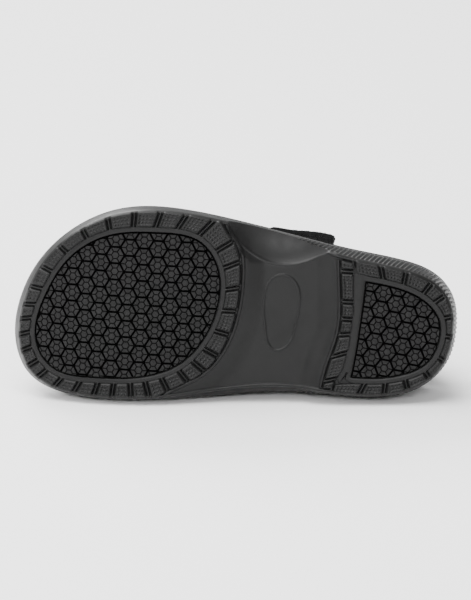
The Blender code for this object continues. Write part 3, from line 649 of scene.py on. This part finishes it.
def lug_form(builder, sheet):
    """A block lug over a sheet of places (u, v), each from 0 to 1, with rounded edges and a sunk field."""
    corners = sheet(np.array([[0.0, 0.0], [1.0, 0.0], [1.0, 1.0], [0.0, 1.0]]))
    wide = 0.5 * (np.linalg.norm(corners[1] - corners[0]) + np.linalg.norm(corners[2] - corners[3]))
    deep = 0.5 * (np.linalg.norm(corners[3] - corners[0]) + np.linalg.norm(corners[2] - corners[1]))
    ins, tops = (np.array(LUG_SECTION) + (LUG_FOOT, 0.0)).T
    steps_across = []
    for length in (wide, deep):
        steps = np.minimum(ins, 0.45 * length) / length
        middle = np.linspace(steps[-1], 1.0 - steps[-1], 4)[1:-1]
        steps_across.append(np.concatenate([steps, middle, (1.0 - steps)[::-1]]))
    us, vs = steps_across
    grid_u, grid_v = np.meshgrid(us, vs)
    depth_u = np.minimum(grid_u, 1.0 - grid_u) * wide
    depth_v = np.minimum(grid_v, 1.0 - grid_v) * deep
    near = np.minimum(depth_u, depth_v)
    corner = np.hypot(np.maximum(LUG_CORNER - depth_u, 0.0), np.maximum(LUG_CORNER - depth_v, 0.0))
    rounded = np.where(corner > 0.0, np.minimum(near, LUG_CORNER - corner), near)
    height = np.interp(rounded, ins, tops)
    place = sheet(np.column_stack([grid_u.ravel(), grid_v.ravel()]))
    points = raised(place, height.ravel()).reshape(len(vs), len(us), 3)
    stippled = smooth((rounded - FIELD_START) / FIELD_FADE)
    places = np.stack([(grid_u - 0.5) * wide * MM, (grid_v - 0.5) * deep * MM, stippled], axis=-1)
    builder.grid(points, places=places)


def lug_ring(builder, webs, channels, middle, inner, limits, leans=(0.0, 0.0)):
    """Lugs between an inner outline and the nearest of the outer limits, with a thin web in each channel.
    The leans turn the inner ends of the first and the last channel."""
    inner = closed_line(inner)
    turned = {channels[0]: leans[0], channels[-1]: leans[1]}

    def ends(angles):
        outer = np.min([reach(middle, angles, line) for line in limits], axis=0)
        return reach(middle, angles, inner), outer

    def distance_at(angles, share):
        near, far = ends(angles)
        return near + (far - near) * share

    for start, stop in zip(channels[:-1], channels[1:]):
        start_lean, stop_lean = turned.get(start, 0.0), turned.get(stop, 0.0)

        def sheet(uv, start=start, stop=stop, start_lean=start_lean, stop_lean=stop_lean):
            first = np.radians(start + start_lean * (1.0 - uv[:, 1]))
            last = np.radians(stop + stop_lean * (1.0 - uv[:, 1]))
            angle = first + (last - first) * uv[:, 0]
            for _ in range(2):
                swing = 0.5 * CHANNEL / distance_at(angle, uv[:, 1])
                angle = first + swing + (last - first - 2.0 * swing) * uv[:, 0]
            return middle + distance_at(angle, uv[:, 1])[:, None] * rays(angle)

        lug_form(builder, sheet)
    for angle in channels[1:] if channels[-1] - channels[0] == 360 else channels:
        turns = np.radians([angle + turned.get(angle, 0.0), angle])
        near, far = ends(turns)
        distance = np.array([near[0] - 0.6, far[1] - 0.3])
        spots = middle + distance[:, None] * rays(turns)
        webs.append(spots[0] + np.linspace(0.0, 1.0, 14)[:, None] * (spots[1] - spots[0]))


def lug_column(builder, webs, channels, inner_line, outer_line):
    """Lugs side by side across the shoe, between two lines that run across it."""
    def border(line, y):
        return np.column_stack([np.interp(-y, -line[:, 1], line[:, 0]), y])

    for (y0, y1), (y3, y2) in zip(channels[:-1], channels[1:]):
        half = 0.5 * CHANNEL

        def sheet(uv, y0=y0, y1=y1, y2=y2, y3=y3):
            a = border(inner_line, y0 - half + (y3 - y0 + 2.0 * half) * uv[:, 1])
            b = border(outer_line, y1 - half + (y2 - y1 + 2.0 * half) * uv[:, 1])
            return a + (b - a) * uv[:, :1]

        lug_form(builder, sheet)
    for y0, y1 in channels[1:-1]:
        a = border(inner_line, np.array([y0]))[0]
        b = border(outer_line, np.array([y1]))[0]
        webs.append(a + (b - a) * np.linspace(-0.08, 1.08, 8)[:, None])


def heel_plate():
    """Outline of the flat round the heel's pad, out to the lugs behind and to the column in front."""
    ring = grown(HEEL_OUTLINE, HEEL_PLATE)
    angles = np.arctan2(HEEL_OUTLINE[:, 1] - HEEL_MIDDLE[1], HEEL_OUTLINE[:, 0] - HEEL_MIDDLE[0])
    distance = np.minimum(reach(HEEL_MIDDLE, angles, COLUMN_REAR + (0.4, 0.0)), 45.0)
    column = HEEL_MIDDLE + distance[:, None] * rays(angles)
    turn = np.degrees(angles) % 360.0
    in_front = (turn < HEEL_CHANNELS[0]) | (turn > HEEL_CHANNELS[-1])
    return np.where(in_front[:, None], column, ring)


def pad_rings(outline, shares, borders):
    """Rings over a pad's outline: its floor, at shares of the way out from its middle, and its borders,
    with their distances out and their heights."""
    middle = outline.mean(axis=0)
    floor = [raised(middle + share * (outline - middle), borders[0][1]) for share in shares]
    return floor + [raised(grown(outline, distance), height) for distance, height in borders]


def pad_pocket(builder, pad, plate):
    """The pocket under a pad, its rounded rim and the flat border round it, which ends in a low step."""
    borders = ((0.0, POCKET_FLOOR), (0.0, 1.6), (0.1, 1.3), (0.35, RIM_FACE))
    rings = pad_rings(pad, (0.0, 0.5, 0.98), borders)
    rim = grown(pad, borders[-1][0])
    for share, drop in ((0.35, 0.0), (0.65, 0.0), (0.9, 0.0), (0.97, 0.25), (1.0, 1.4)):
        rings.append(raised(rim + share * (plate - rim), RIM_FACE + drop))
    builder.grid(np.array(rings), closed_u=True)


def tread_lugs(builder, rows, out):
    """Both rings of lugs and the column in front of the heel, with a web in each channel."""
    edge = closed_line(rows[:, :2] - LUG_INSET * out)
    webs = []
    fore_inner = grown(FORE_OUTLINE, FORE_LUGS)
    lug_ring(builder, webs, FORE_CHANNELS, FORE_MIDDLE, fore_inner, (edge, FRONT_LINE + (1.4, 0.0)))
    heel_inner = np.vstack([grown(HEEL_OUTLINE, HEEL_LUGS)[1:119], HEEL_CORNERS])
    lug_ring(builder, webs, HEEL_CHANNELS, HEEL_MIDDLE, heel_inner, (edge, REAR_LINE), HEEL_LEANS)
    lug_column(builder, webs, COLUMN_CHANNELS, COLUMN_REAR - (0.6, 0.0), REAR_LINE - (1.2, 0.0))
    for line in webs:
        sweep(builder, line, WEB_SECTION, lambda place: hollowed(place, WEB_BASE), ends=0.8)


def shank_lines(builder, rows, out):
    """The rails at both ends of the shank, the bead round the scoop and the oval line."""
    border = rows[:, :2] - 1.6 * out
    for line in (FRONT_LINE, REAR_LINE):
        kept = open_curve(line[within(line, border)], 160)
        sweep(builder, kept, RAIL_SECTION, lambda place: hollowed(place, RAIL_BASE))
    sweep(builder, open_curve(SCOOP_RIDGE, 120), BEAD_SECTION, underside)
    oval = spline_through(CAPSULE, closed=True)(np.arange(200) / 200.0)
    sweep(builder, oval, OVAL_SECTION, underside, closed=True)


def build_sole(material):
    """The outsole unit in one piece."""
    builder = Builder()
    sole_body(builder)
    rows, out = edge_rows(np.arange(600) / 600.0)
    pad_pocket(builder, FORE_OUTLINE, grown(FORE_OUTLINE, FORE_PLATE))
    pad_pocket(builder, HEEL_OUTLINE, heel_plate())
    tread_lugs(builder, rows, out)
    shank_lines(builder, rows, out)
    return builder.build("sole_unit", material, auto_smooth=48.0)


def clipped(region, window):
    """The part of a closed outline inside a convex window, both anticlockwise."""
    kept = [tuple(p) for p in region]
    for a, b in zip(window, np.roll(window, -1, axis=0)):
        span = b - a
        result = []
        for p, q in zip(kept, kept[1:] + kept[:1]):
            side_p = span[0] * (p[1] - a[1]) - span[1] * (p[0] - a[0])
            side_q = span[0] * (q[1] - a[1]) - span[1] * (q[0] - a[0])
            if side_p >= 0.0:
                result.append(p)
            if (side_p > 0.0) != (side_q > 0.0) and side_p != side_q:
                t = side_p / (side_p - side_q)
                result.append((p[0] + t * (q[0] - p[0]), p[1] + t * (q[1] - p[1])))
        kept = result
        if not kept:
            return None
    points = [kept[0]]
    for p in kept[1:]:
        if math.dist(p, points[-1]) > SHORTEST_SIDE:
            points.append(p)
    if math.dist(points[0], points[-1]) < SHORTEST_SIDE:
        points.pop()
    points = np.array(points)
    if len(points) < 3:
        return None
    return points if outline_area(points) > SMALLEST_CELL else None


def along_tread(x):
    """Distance along the tread at x, measured over the toe spring."""
    share = np.clip((x - SPRING_START) / SPRING_RADIUS, 0.0, 0.99)
    return np.where(x > SPRING_START, SPRING_START + SPRING_RADIUS * np.arcsin(share), x)


def across_tread(s):
    """The x of a distance along the tread."""
    over_spring = SPRING_START + SPRING_RADIUS * np.sin((s - SPRING_START) / SPRING_RADIUS)
    return np.where(s > SPRING_START, over_spring, s)


def block(builder, outline, low, high, draft, painted_shades):
    """A small drafted block on a convex outline along the tread, with the painted shade of its foot and
    face.
    """
    middle = outline.mean(axis=0)
    reach_in = np.linalg.norm(outline - middle, axis=1)
    rings = []
    for inset, level in ((0.0, low), (draft, high + 0.12), (draft + 0.09, high)):
        share = np.maximum(1.0 - inset * 1.25 / reach_in, 0.1)
        place = middle + (outline - middle) * share[:, None]
        rings.append(raised(np.column_stack([across_tread(place[:, 0]), place[:, 1]]), level))
    count = len(outline)
    faces = [tuple(2 * count + i for i in reversed(range(count)))]
    for r in range(2):
        for i in range(count):
            j = (i + 1) % count
            faces.append(((r + 1) * count + i, (r + 1) * count + j, r * count + j, r * count + i))
    # Painted shade: the colour darkens from the block's face down to its foot in the groove
    painted_shade_and_stipple_mask = np.repeat([painted_shades[0], 0.35 * painted_shades[0] + 0.65 * painted_shades[1], painted_shades[1]], count)
    builder.add(np.vstack(rings), faces, np.column_stack([painted_shade_and_stipple_mask, painted_shade_and_stipple_mask, painted_shade_and_stipple_mask]))


def cell_shapes(middle, right, up):
    """The shapes of one cell with foot, face, draft and painted shade: its base, its hub and its six wedges.
    """
    slope = math.tan(math.pi / 6.0)
    outer = 0.5 * (HEX_PITCH - HEX_GROOVE)
    hub = 0.5 * HUB_ACROSS
    inner = hub + SPOKE_GROOVE
    half_spoke = 0.5 * SPOKE_GROOVE / math.cos(math.radians(30.0))
    wide = outer * slope - half_spoke
    slim = inner * slope - half_spoke
    sides = [math.radians(30.0 + 60.0 * k) for k in range(6)]

    def spot(distance, half, side):
        normal = math.cos(side) * right + math.sin(side) * up
        along = -math.sin(side) * right + math.cos(side) * up
        return middle + distance * normal + half * along

    root = (HEX_FLOOR + 0.2, FINE_FLOOR, ROOT_DRAFT, (GROOVE_PAINTED_SHADE, FINE_GROOVE_PAINTED_SHADE))
    top = (FINE_FLOOR + 0.1, PAD_FACE, CELL_DRAFT, (FINE_GROOVE_PAINTED_SHADE, 1.0))
    shapes = [([spot(outer, -outer * slope, side) for side in sides], *root),
              ([spot(hub, -hub * slope, side) for side in sides], *top)]
    for side in sides:
        shapes.append(([spot(inner, -slim, side), spot(outer, -wide, side), spot(outer, wide, side),
                        spot(inner, slim, side)], *top))
    return shapes


def build_pad(name, outline, centre, turn, material):
    """A rubber pad with hexagonal cells cut into its face, each with a hub and six spokes. One cell's middle
    lies at the centre, and the rows are turned from there, in degrees."""
    builder = Builder()
    edge = grown(outline, -GAP)
    borders = ((-CELL_BORDER, HEX_FLOOR), (-0.3, HEX_FLOOR), (0.0, 3.4))
    rings = np.array(pad_rings(edge, (0.0, 0.5, 0.965), borders))
    # The pad's floor is painted with the deep grooves' shade
    builder.grid(rings, closed_u=True, places=np.full(rings.shape[:2] + (3,), GROOVE_PAINTED_SHADE))
    limit = grown(edge, -CELL_BORDER)
    region = anticlockwise(np.column_stack([along_tread(limit[:, 0]), limit[:, 1]]))
    angle = math.radians(turn)
    right = np.array([-math.cos(angle), -math.sin(angle)])
    up = np.array([-math.sin(angle), math.cos(angle)])
    row_step = 1.5 * HEX_PITCH / math.sqrt(3.0)
    for i in range(-10, 11):
        for j in range(-10, 11):
            middle = np.array(centre) + i * row_step * right + (j + 0.5 * (i % 2)) * HEX_PITCH * up
            nearest = np.min(np.linalg.norm(region - middle, axis=1))
            if nearest > CELL_REACH and not within(middle[None, :], region)[0]:
                continue
            for shape, base, face, draft, painted_shades in cell_shapes(middle, right, up):
                window = anticlockwise(np.array(shape))
                cut = window if within(window, region).all() else clipped(region, window)
                if cut is not None:
                    block(builder, cut, base, face, draft, painted_shades)
    return builder.build(name + "_rubber", material, auto_smooth=35.0)


def wall_profiles(shares, steps):
    """Points up the upper's outer side at some stations, from the parting line to the collar."""
    rows, out = edge_rows(shares)
    foot = rows[:, :2] + rows[:, 2:3] * out
    base = np.column_stack([foot, parting(rows[:, 0]) + toe_rise(foot[:, 0]) + GAP])
    rise = WALL_HANDLE * (rows[:, 5] - base[:, 2])[:, None]
    first = base + np.column_stack([-WALL_LEAN * out, np.ones(len(out))]) * rise
    t = steps[None, :, None]
    s = 1.0 - t
    base, first, crown, collar = (p[:, None, :] for p in (base, first, rows[:, 3:6], rows[:, 6:9]))
    return s ** 3 * base + 3 * s * s * t * first + 3 * s * t * t * crown + t ** 3 * collar


def build_upper(material):
    """Hollow shell from the parting line to the collar, with a rounded lip and the strap's slot."""
    builder = Builder()
    steps = np.linspace(0.0, 1.0, UPPER_STEPS)
    outer = wall_profiles(np.arange(UPPER_STATIONS) / UPPER_STATIONS, steps)
    along = np.roll(outer, -1, axis=0) - np.roll(outer, 1, axis=0)
    normal = unit(np.cross(along, np.gradient(outer, axis=1)))
    foot = normal[:, 0, :].copy()
    foot[:, 2] = 0.0
    normal[:, 0, :] = unit(foot)
    inner = outer - WALL * normal
    rise = unit(outer[:, -1] - outer[:, -2])
    middle = outer[:, -1] - 0.5 * WALL * normal[:, -1]
    rings = [outer[:, k] for k in range(len(steps))]
    for angle in np.radians((20.0, 45.0, 70.0, 90.0, 110.0, 135.0, 160.0)):
        across = 0.5 * WALL * math.cos(angle) * normal[:, -1]
        rings.append(middle + across + LIP_RISE * math.sin(angle) * rise)
    rings += [inner[:, k] for k in range(len(steps) - 1, -1, -1)]
    builder.grid(np.array(rings), closed_u=True, closed_v=True)
    upper = builder.build("upper_shell", material, auto_smooth=40.0)
    slot = slot_tool()
    cut = upper.modifiers.new("slot", "BOOLEAN")
    cut.operation = "DIFFERENCE"
    cut.solver = "EXACT"
    cut.object = slot
    bpy.context.view_layer.update()
    graph = bpy.context.evaluated_depsgraph_get()
    mesh = bpy.data.meshes.new_from_object(upper.evaluated_get(graph))
    upper.modifiers.remove(cut)
    upper.data = mesh
    bpy.data.objects.remove(slot, do_unlink=True)
    return upper


def wall_places(shares, heights, out):
    """Points at some heights on the upper's outer side, moved out from it."""
    profiles = wall_profiles(shares, np.linspace(0.0, 1.0, 60))
    _, side = edge_rows(shares)
    places = []
    for profile, height, away, across in zip(profiles, heights, out, side):
        x = np.interp(height, profile[:, 2], profile[:, 0]) + away * across[0]
        y = np.interp(height, profile[:, 2], profile[:, 1]) + away * across[1]
        places.append((x, y, height))
    return np.array(places)


def strap_middle(shares):
    """Height of the strap's middle line, which rises towards the back of the heel."""
    return STRAP_BACK_Z - (STRAP_BACK_Z - STRAP_FRONT_Z) * SHOE(shares % 1.0)[:, 0] / SLOT_X


def slot_tool():
    """Upright block that cuts the strap's slot through the outer wall."""
    share = share_at(SLOT_X, True)
    _, side = edge_rows(np.array([share]))
    along = np.array([-side[0][1], side[0][0], 0.0])
    half = 0.5 * STRAP_WIDTH + 2.0 * GAP
    middle = strap_middle(np.array([share]))[0]
    builder = Builder()
    rings = []
    for height in (middle - half, middle, middle + half):
        ring = []
        for out, way in ((-10.0, -1.0), (6.0, -1.0), (6.0, 1.0), (-10.0, 1.0)):
            place = wall_places(np.array([share]), [height], [out])[0]
            ring.append(place + along * way * SLOT_HALF)
        rings.append(ring)
    builder.grid(np.array(rings), closed_u=True)
    builder.add(np.array([rings[0], rings[-1]]), [(3, 2, 1, 0), (4, 5, 6, 7)])
    mesh = builder.mesh("slot")
    work = bmesh.new()
    work.from_mesh(mesh)
    bmesh.ops.remove_doubles(work, verts=work.verts, dist=1e-6)
    bmesh.ops.recalc_face_normals(work, faces=work.faces)
    work.to_mesh(mesh)
    work.free()
    mesh.transform(REST)
    return placed("slot", mesh)


def strap_rows():
    """Rows along the strap: station, distance out from the wall, thickness and width."""
    slot = share_at(SLOT_X, True)
    end = share_at(FLAP_END_X, True)
    last = 1.0 + share_at(INNER_END_X, False)
    flap = np.array(FLAP_ROWS)
    backs = np.unique(np.concatenate([flap[:, 0], np.arange(0.6, flap[-1, 0], 0.55)]))
    rows = [np.interp(backs, flap[:, 0], flap[:, k]) for k in (1, 2, 3)]
    route = [(end - back / PERIMETER, out, thick, width) for back, out, thick, width in zip(backs, *rows)]
    route += [(slot + back / PERIMETER, out, thick, STRAP_WIDTH) for back, out, thick in TURN_ROWS]
    after = route[-1][0]
    for k in range(1, 91):
        route.append((after + (last - after) * k / 90.0, INNER_OUT, STRAP_THICK, STRAP_WIDTH))
    return np.array(route)


def build_strap(material):
    """The textile band: free flap outside, turn through the slot, run round the heel to the inner side."""
    route = strap_rows()
    builder = Builder()
    levels = np.linspace(-0.5, 0.5, 11)
    middle = strap_middle(route[:, 0])
    lines = [wall_places(route[:, 0], middle + level * route[:, 3], route[:, 1]) for level in levels]
    along = unit(np.gradient(lines[5][:, :2], axis=0))
    across = np.column_stack([rightwards(along), np.zeros(len(along))])
    run = run_along(lines[5])
    rings = []
    places = []
    for way in (1.0, -1.0):
        order = range(len(levels)) if way > 0.0 else range(len(levels) - 1, -1, -1)
        for k in order:
            fullness = 1.0 - 0.45 * abs(2.0 * levels[k]) ** 6
            rings.append(lines[k] + way * across * (0.5 * route[:, 2] * fullness)[:, None])
            across_run = np.full(len(run), levels[k] * STRAP_WIDTH)
            places.append(np.column_stack([run, across_run, np.zeros(len(run))]))
    points = np.array(rings).transpose(1, 0, 2)
    points += np.random.default_rng(7).normal(0.0, FUZZ, points.shape)
    builder.grid(points, closed_u=True, places=np.array(places).transpose(1, 0, 2) * MM, turned=True)
    count = points.shape[1]
    builder.add(points[0], [tuple(range(count))[::-1]])
    builder.add(points[-1], [tuple(range(count))])
    return builder.build("strap_band", material, auto_smooth=50.0)


def build_insole(material):
    """Footbed that lies on the sole, a little raised round its rim."""
    builder = Builder()
    rows, out = edge_rows(np.arange(360) / 360.0)
    spine = spine_of(rows[:, :2])
    rings = []
    for share, thick in [(0.0, 0.0), (0.5, 0.0), (0.98, 0.0), (1.0, 0.1), *open_curve(FOOTBED_SECTION, 26)]:
        edge = rows[:, :2] + (rows[:, 2:3] - WALL - FOOTBED_GAP - 0.1 * thick) * out
        place = spine + share * (edge - spine)
        rings.append(raised(place, parting(place[:, 0]) + GAP + thick))
    builder.grid(np.array(rings), closed_u=True)
    return builder.build("footbed", material, auto_smooth=40.0)


class Shader:
    """Small helper to wire a Principled material."""

    def __init__(self, name, colour, roughness, specular):
        self.material = bpy.data.materials.new(name)
        self.material.use_nodes = True
        self.tree = self.material.node_tree
        self.base = self.tree.nodes["Principled BSDF"]
        self.colour = (*colour, 1.0)
        self.base.inputs["Base Color"].default_value = self.colour
        self.base.inputs["Roughness"].default_value = roughness
        self.base.inputs["Specular IOR Level"].default_value = specular

    def node(self, kind, inputs=None, **settings):
        """A node with its settings and its inputs, which are values or other nodes' outputs."""
        item = self.tree.nodes.new(kind)
        for key, value in settings.items():
            setattr(item, key, value)
        for key, value in (inputs or {}).items():
            if isinstance(value, bpy.types.NodeSocket):
                self.tree.links.new(value, item.inputs[key])
            else:
                item.inputs[key].default_value = value
        return item

    def link(self, output, socket):
        """Wires an output to the Principled shader."""
        self.tree.links.new(output, self.base.inputs[socket])

    def maths(self, operation, a, b=0.0):
        """One calculation."""
        return self.node("ShaderNodeMath", {0: a, 1: b}, operation=operation).outputs[0]

    def noise(self, where, scale, detail, rough=0.5):
        """Noise at a place."""
        inputs = {"Vector": where, "Scale": scale, "Detail": detail, "Roughness": rough}
        return self.node("ShaderNodeTexNoise", inputs).outputs["Fac"]

    def ramp(self, value, low, high, out_low, out_high):
        """A linear change of range."""
        inputs = {0: value, 1: low, 2: high, 3: out_low, 4: out_high}
        return self.node("ShaderNodeMapRange", inputs).outputs[0]

    def layer(self, name):
        """The values of a texture layer."""
        values = self.node("ShaderNodeUVMap", uv_map=name).outputs[0]
        return self.node("ShaderNodeSeparateXYZ", {0: values}).outputs

    def tint(self, tone):
        """Wires the material's colour, times a tone, to the Principled shader."""
        grey = self.node("ShaderNodeCombineColor", {0: tone, 1: tone, 2: tone}).outputs[0]
        mixed = self.node("ShaderNodeMix", data_type="RGBA", blend_type="MULTIPLY",
                          inputs={0: 1.0, 6: self.colour, 7: grey})
        self.link(mixed.outputs[2], "Base Color")

    def bevel(self, radius):
        """Normals that round the edges."""
        return self.node("ShaderNodeBevel", {"Radius": radius}, samples=4).outputs[0]

    def bump(self, strength, distance, height, normal=None):
        """Normals of a fine relief."""
        inputs = {"Strength": strength, "Distance": distance, "Height": height}
        if normal is not None:
            inputs["Normal"] = normal
        return self.node("ShaderNodeBump", inputs).outputs[0]


def foam_material(name, colour, roughness, grain=0.12, field=False):
    """Moulded foam: fine skin grain, soft cloudiness in colour and gloss, rounded edges, stippled field."""
    s = Shader(name, colour, roughness, 0.21)
    where = s.node("ShaderNodeTexCoord").outputs["Object"]
    cloud = s.noise(where, 38.0, 3.0)
    patch = s.noise(where, 160.0, 3.0)
    s.tint(s.maths("ADD", s.ramp(cloud, 0.3, 0.7, 0.88, 1.12), s.ramp(patch, 0.3, 0.7, -0.06, 0.06)))
    gloss = s.maths("ADD", s.ramp(patch, 0.3, 0.7, roughness - 0.05, roughness + 0.05),
                    s.ramp(cloud, 0.3, 0.7, -0.03, 0.03))
    s.link(gloss, "Roughness")
    fine = s.noise(where, 2600.0, 2.0)
    pores = s.node("ShaderNodeTexVoronoi", {"Vector": where, "Scale": 1500.0}).outputs["Distance"]
    height = s.maths("ADD", s.maths("MULTIPLY", fine, 0.6), s.maths("MULTIPLY", pores, 0.5))
    normal = s.bump(grain, GRAIN_DEPTH, height, s.bevel(0.00035))
    if field:
        waves = []
        for distance in s.layer("place")[:2]:
            scaled = s.maths("MULTIPLY", distance, 2.0 * math.pi / STIPPLE_PITCH)
            waves.append(s.maths("MULTIPLY", s.maths("ADD", s.maths("COSINE", scaled), 1.0), 0.5))
        dots = s.maths("MULTIPLY", *waves)
        normal = s.bump(0.9, STIPPLE_DEPTH, s.maths("MULTIPLY", dots, s.layer("painted_shade_and_stipple_mask")[0]), normal)
    s.link(normal, "Normal")
    return s.material


def rubber_material():
    """Black rubber with fine grain, with painted shade darkening its grooves, which are also duller."""
    s = Shader("tread_rubber_look", RUBBER_COLOUR, 0.6, 0.03)
    where = s.node("ShaderNodeTexCoord").outputs["Object"]
    cloud = s.noise(where, 300.0, 3.0)
    painted_shade_and_stipple_mask = s.layer("painted_shade_and_stipple_mask")[0]
    # Painted shade: the rubber's colour is multiplied down in the grooves by the layer's value
    s.tint(s.maths("MULTIPLY", s.ramp(cloud, 0.3, 0.7, 0.8, 1.2), painted_shade_and_stipple_mask))
    gloss = s.maths("ADD", s.ramp(cloud, 0.3, 0.7, 0.5, 0.64), s.ramp(painted_shade_and_stipple_mask, 0.0, 1.0, 0.35, 0.0))
    s.link(gloss, "Roughness")
    s.link(s.bump(0.2, GRAIN_DEPTH, s.noise(where, 2400.0, 3.0), s.bevel(0.0002)), "Normal")
    return s.material


def textile_material():
    """Black tape with looped pile and a rib weave."""
    s = Shader("strap_look", STRAP_COLOUR, 0.9, 0.1)
    s.base.inputs["Sheen Weight"].default_value = 0.2
    s.base.inputs["Sheen Roughness"].default_value = 0.45
    where = s.node("ShaderNodeTexCoord").outputs["Object"]
    waves = []
    for distance, pitch in zip(s.layer("place")[:2], (WEAVE_ALONG, WEAVE_ACROSS)):
        waves.append(s.maths("SINE", s.maths("MULTIPLY", distance, 2.0 * math.pi / pitch)))
    weave = s.maths("MULTIPLY", *waves)
    loops = s.noise(where, 1900.0, 4.0, 0.7)
    s.tint(s.ramp(loops, 0.3, 0.75, 0.5, 1.9))
    s.link(s.bump(0.7, PILE_DEPTH, s.maths("ADD", s.maths("MULTIPLY", weave, 0.3), loops)), "Normal")
    return s.material


def area_light(name, place, size, power):
    """A soft rectangular light that faces the shoe."""
    light = bpy.data.lights.new(name, "AREA")
    light.shape = "RECTANGLE"
    light.size, light.size_y = size
    light.energy = power
    item = placed(name, light)
    item.location = place
    item.rotation_euler = (Vector(LIT_POINT) - Vector(place)).to_track_quat("-Z", "Y").to_euler()


def build_stage():
    """Floor, lights and world."""
    mesh = bpy.data.meshes.new("floor")
    corners = [(x * FLOOR_HALF, y * FLOOR_HALF, 0.0) for x, y in ((-1, -1), (1, -1), (1, 1), (-1, 1))]
    mesh.from_pydata(corners, [], [(0, 1, 2, 3)])
    mesh.materials.append(Shader("floor_look", FLOOR_COLOUR, 0.7, 0.1).material)
    floor = placed("floor", mesh)
    for light in LIGHTS:
        area_light(*light)
    world = bpy.data.worlds.new("studio")
    world.use_nodes = True
    background = world.node_tree.nodes["Background"]
    background.inputs[0].default_value = (1.0, 1.0, 1.0, 1.0)
    background.inputs[1].default_value = WORLD_LIGHT
    bpy.context.scene.world = world


def build_camera():
    """Camera at the photograph's angle to the shoe."""
    down = math.radians(CAMERA_DOWN)
    aim = Vector((0.0, math.cos(down), -math.sin(down)))
    up = Vector((0.0, math.sin(down), math.cos(down)))
    target = Vector(CAMERA_TARGET) + CAMERA_LIFT * up
    data = bpy.data.cameras.new("camera")
    data.sensor_width = SENSOR
    data.lens = SENSOR * CAMERA_FAR / FRAME_HEIGHT
    camera = placed("camera", data)
    camera.location = target - CAMERA_FAR * aim
    camera.rotation_euler = aim.to_track_quat("-Z", "Y").to_euler()
    bpy.context.scene.camera = camera


sole_look = foam_material("sole_look", SOLE_COLOUR, 0.42, field=True)
upper_look = foam_material("upper_look", UPPER_COLOUR, 0.44)
footbed_look = foam_material("footbed_look", FOOTBED_COLOUR, 0.6, grain=0.3)
rubber_look = rubber_material()
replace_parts(build_sole(sole_look), "sole")
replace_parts(build_upper(upper_look), "upper")
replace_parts(build_insole(footbed_look), "insole")
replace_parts(build_pad("forefoot_tread", FORE_OUTLINE, (196.7, 13.8), 3.0, rubber_look), "forefoot_tread")
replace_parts(build_pad("heel_tread", HEEL_OUTLINE, (44.1, 14.8), 10.5, rubber_look), "heel_tread")
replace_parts(build_strap(textile_material()), "strap")
build_stage()
build_camera()
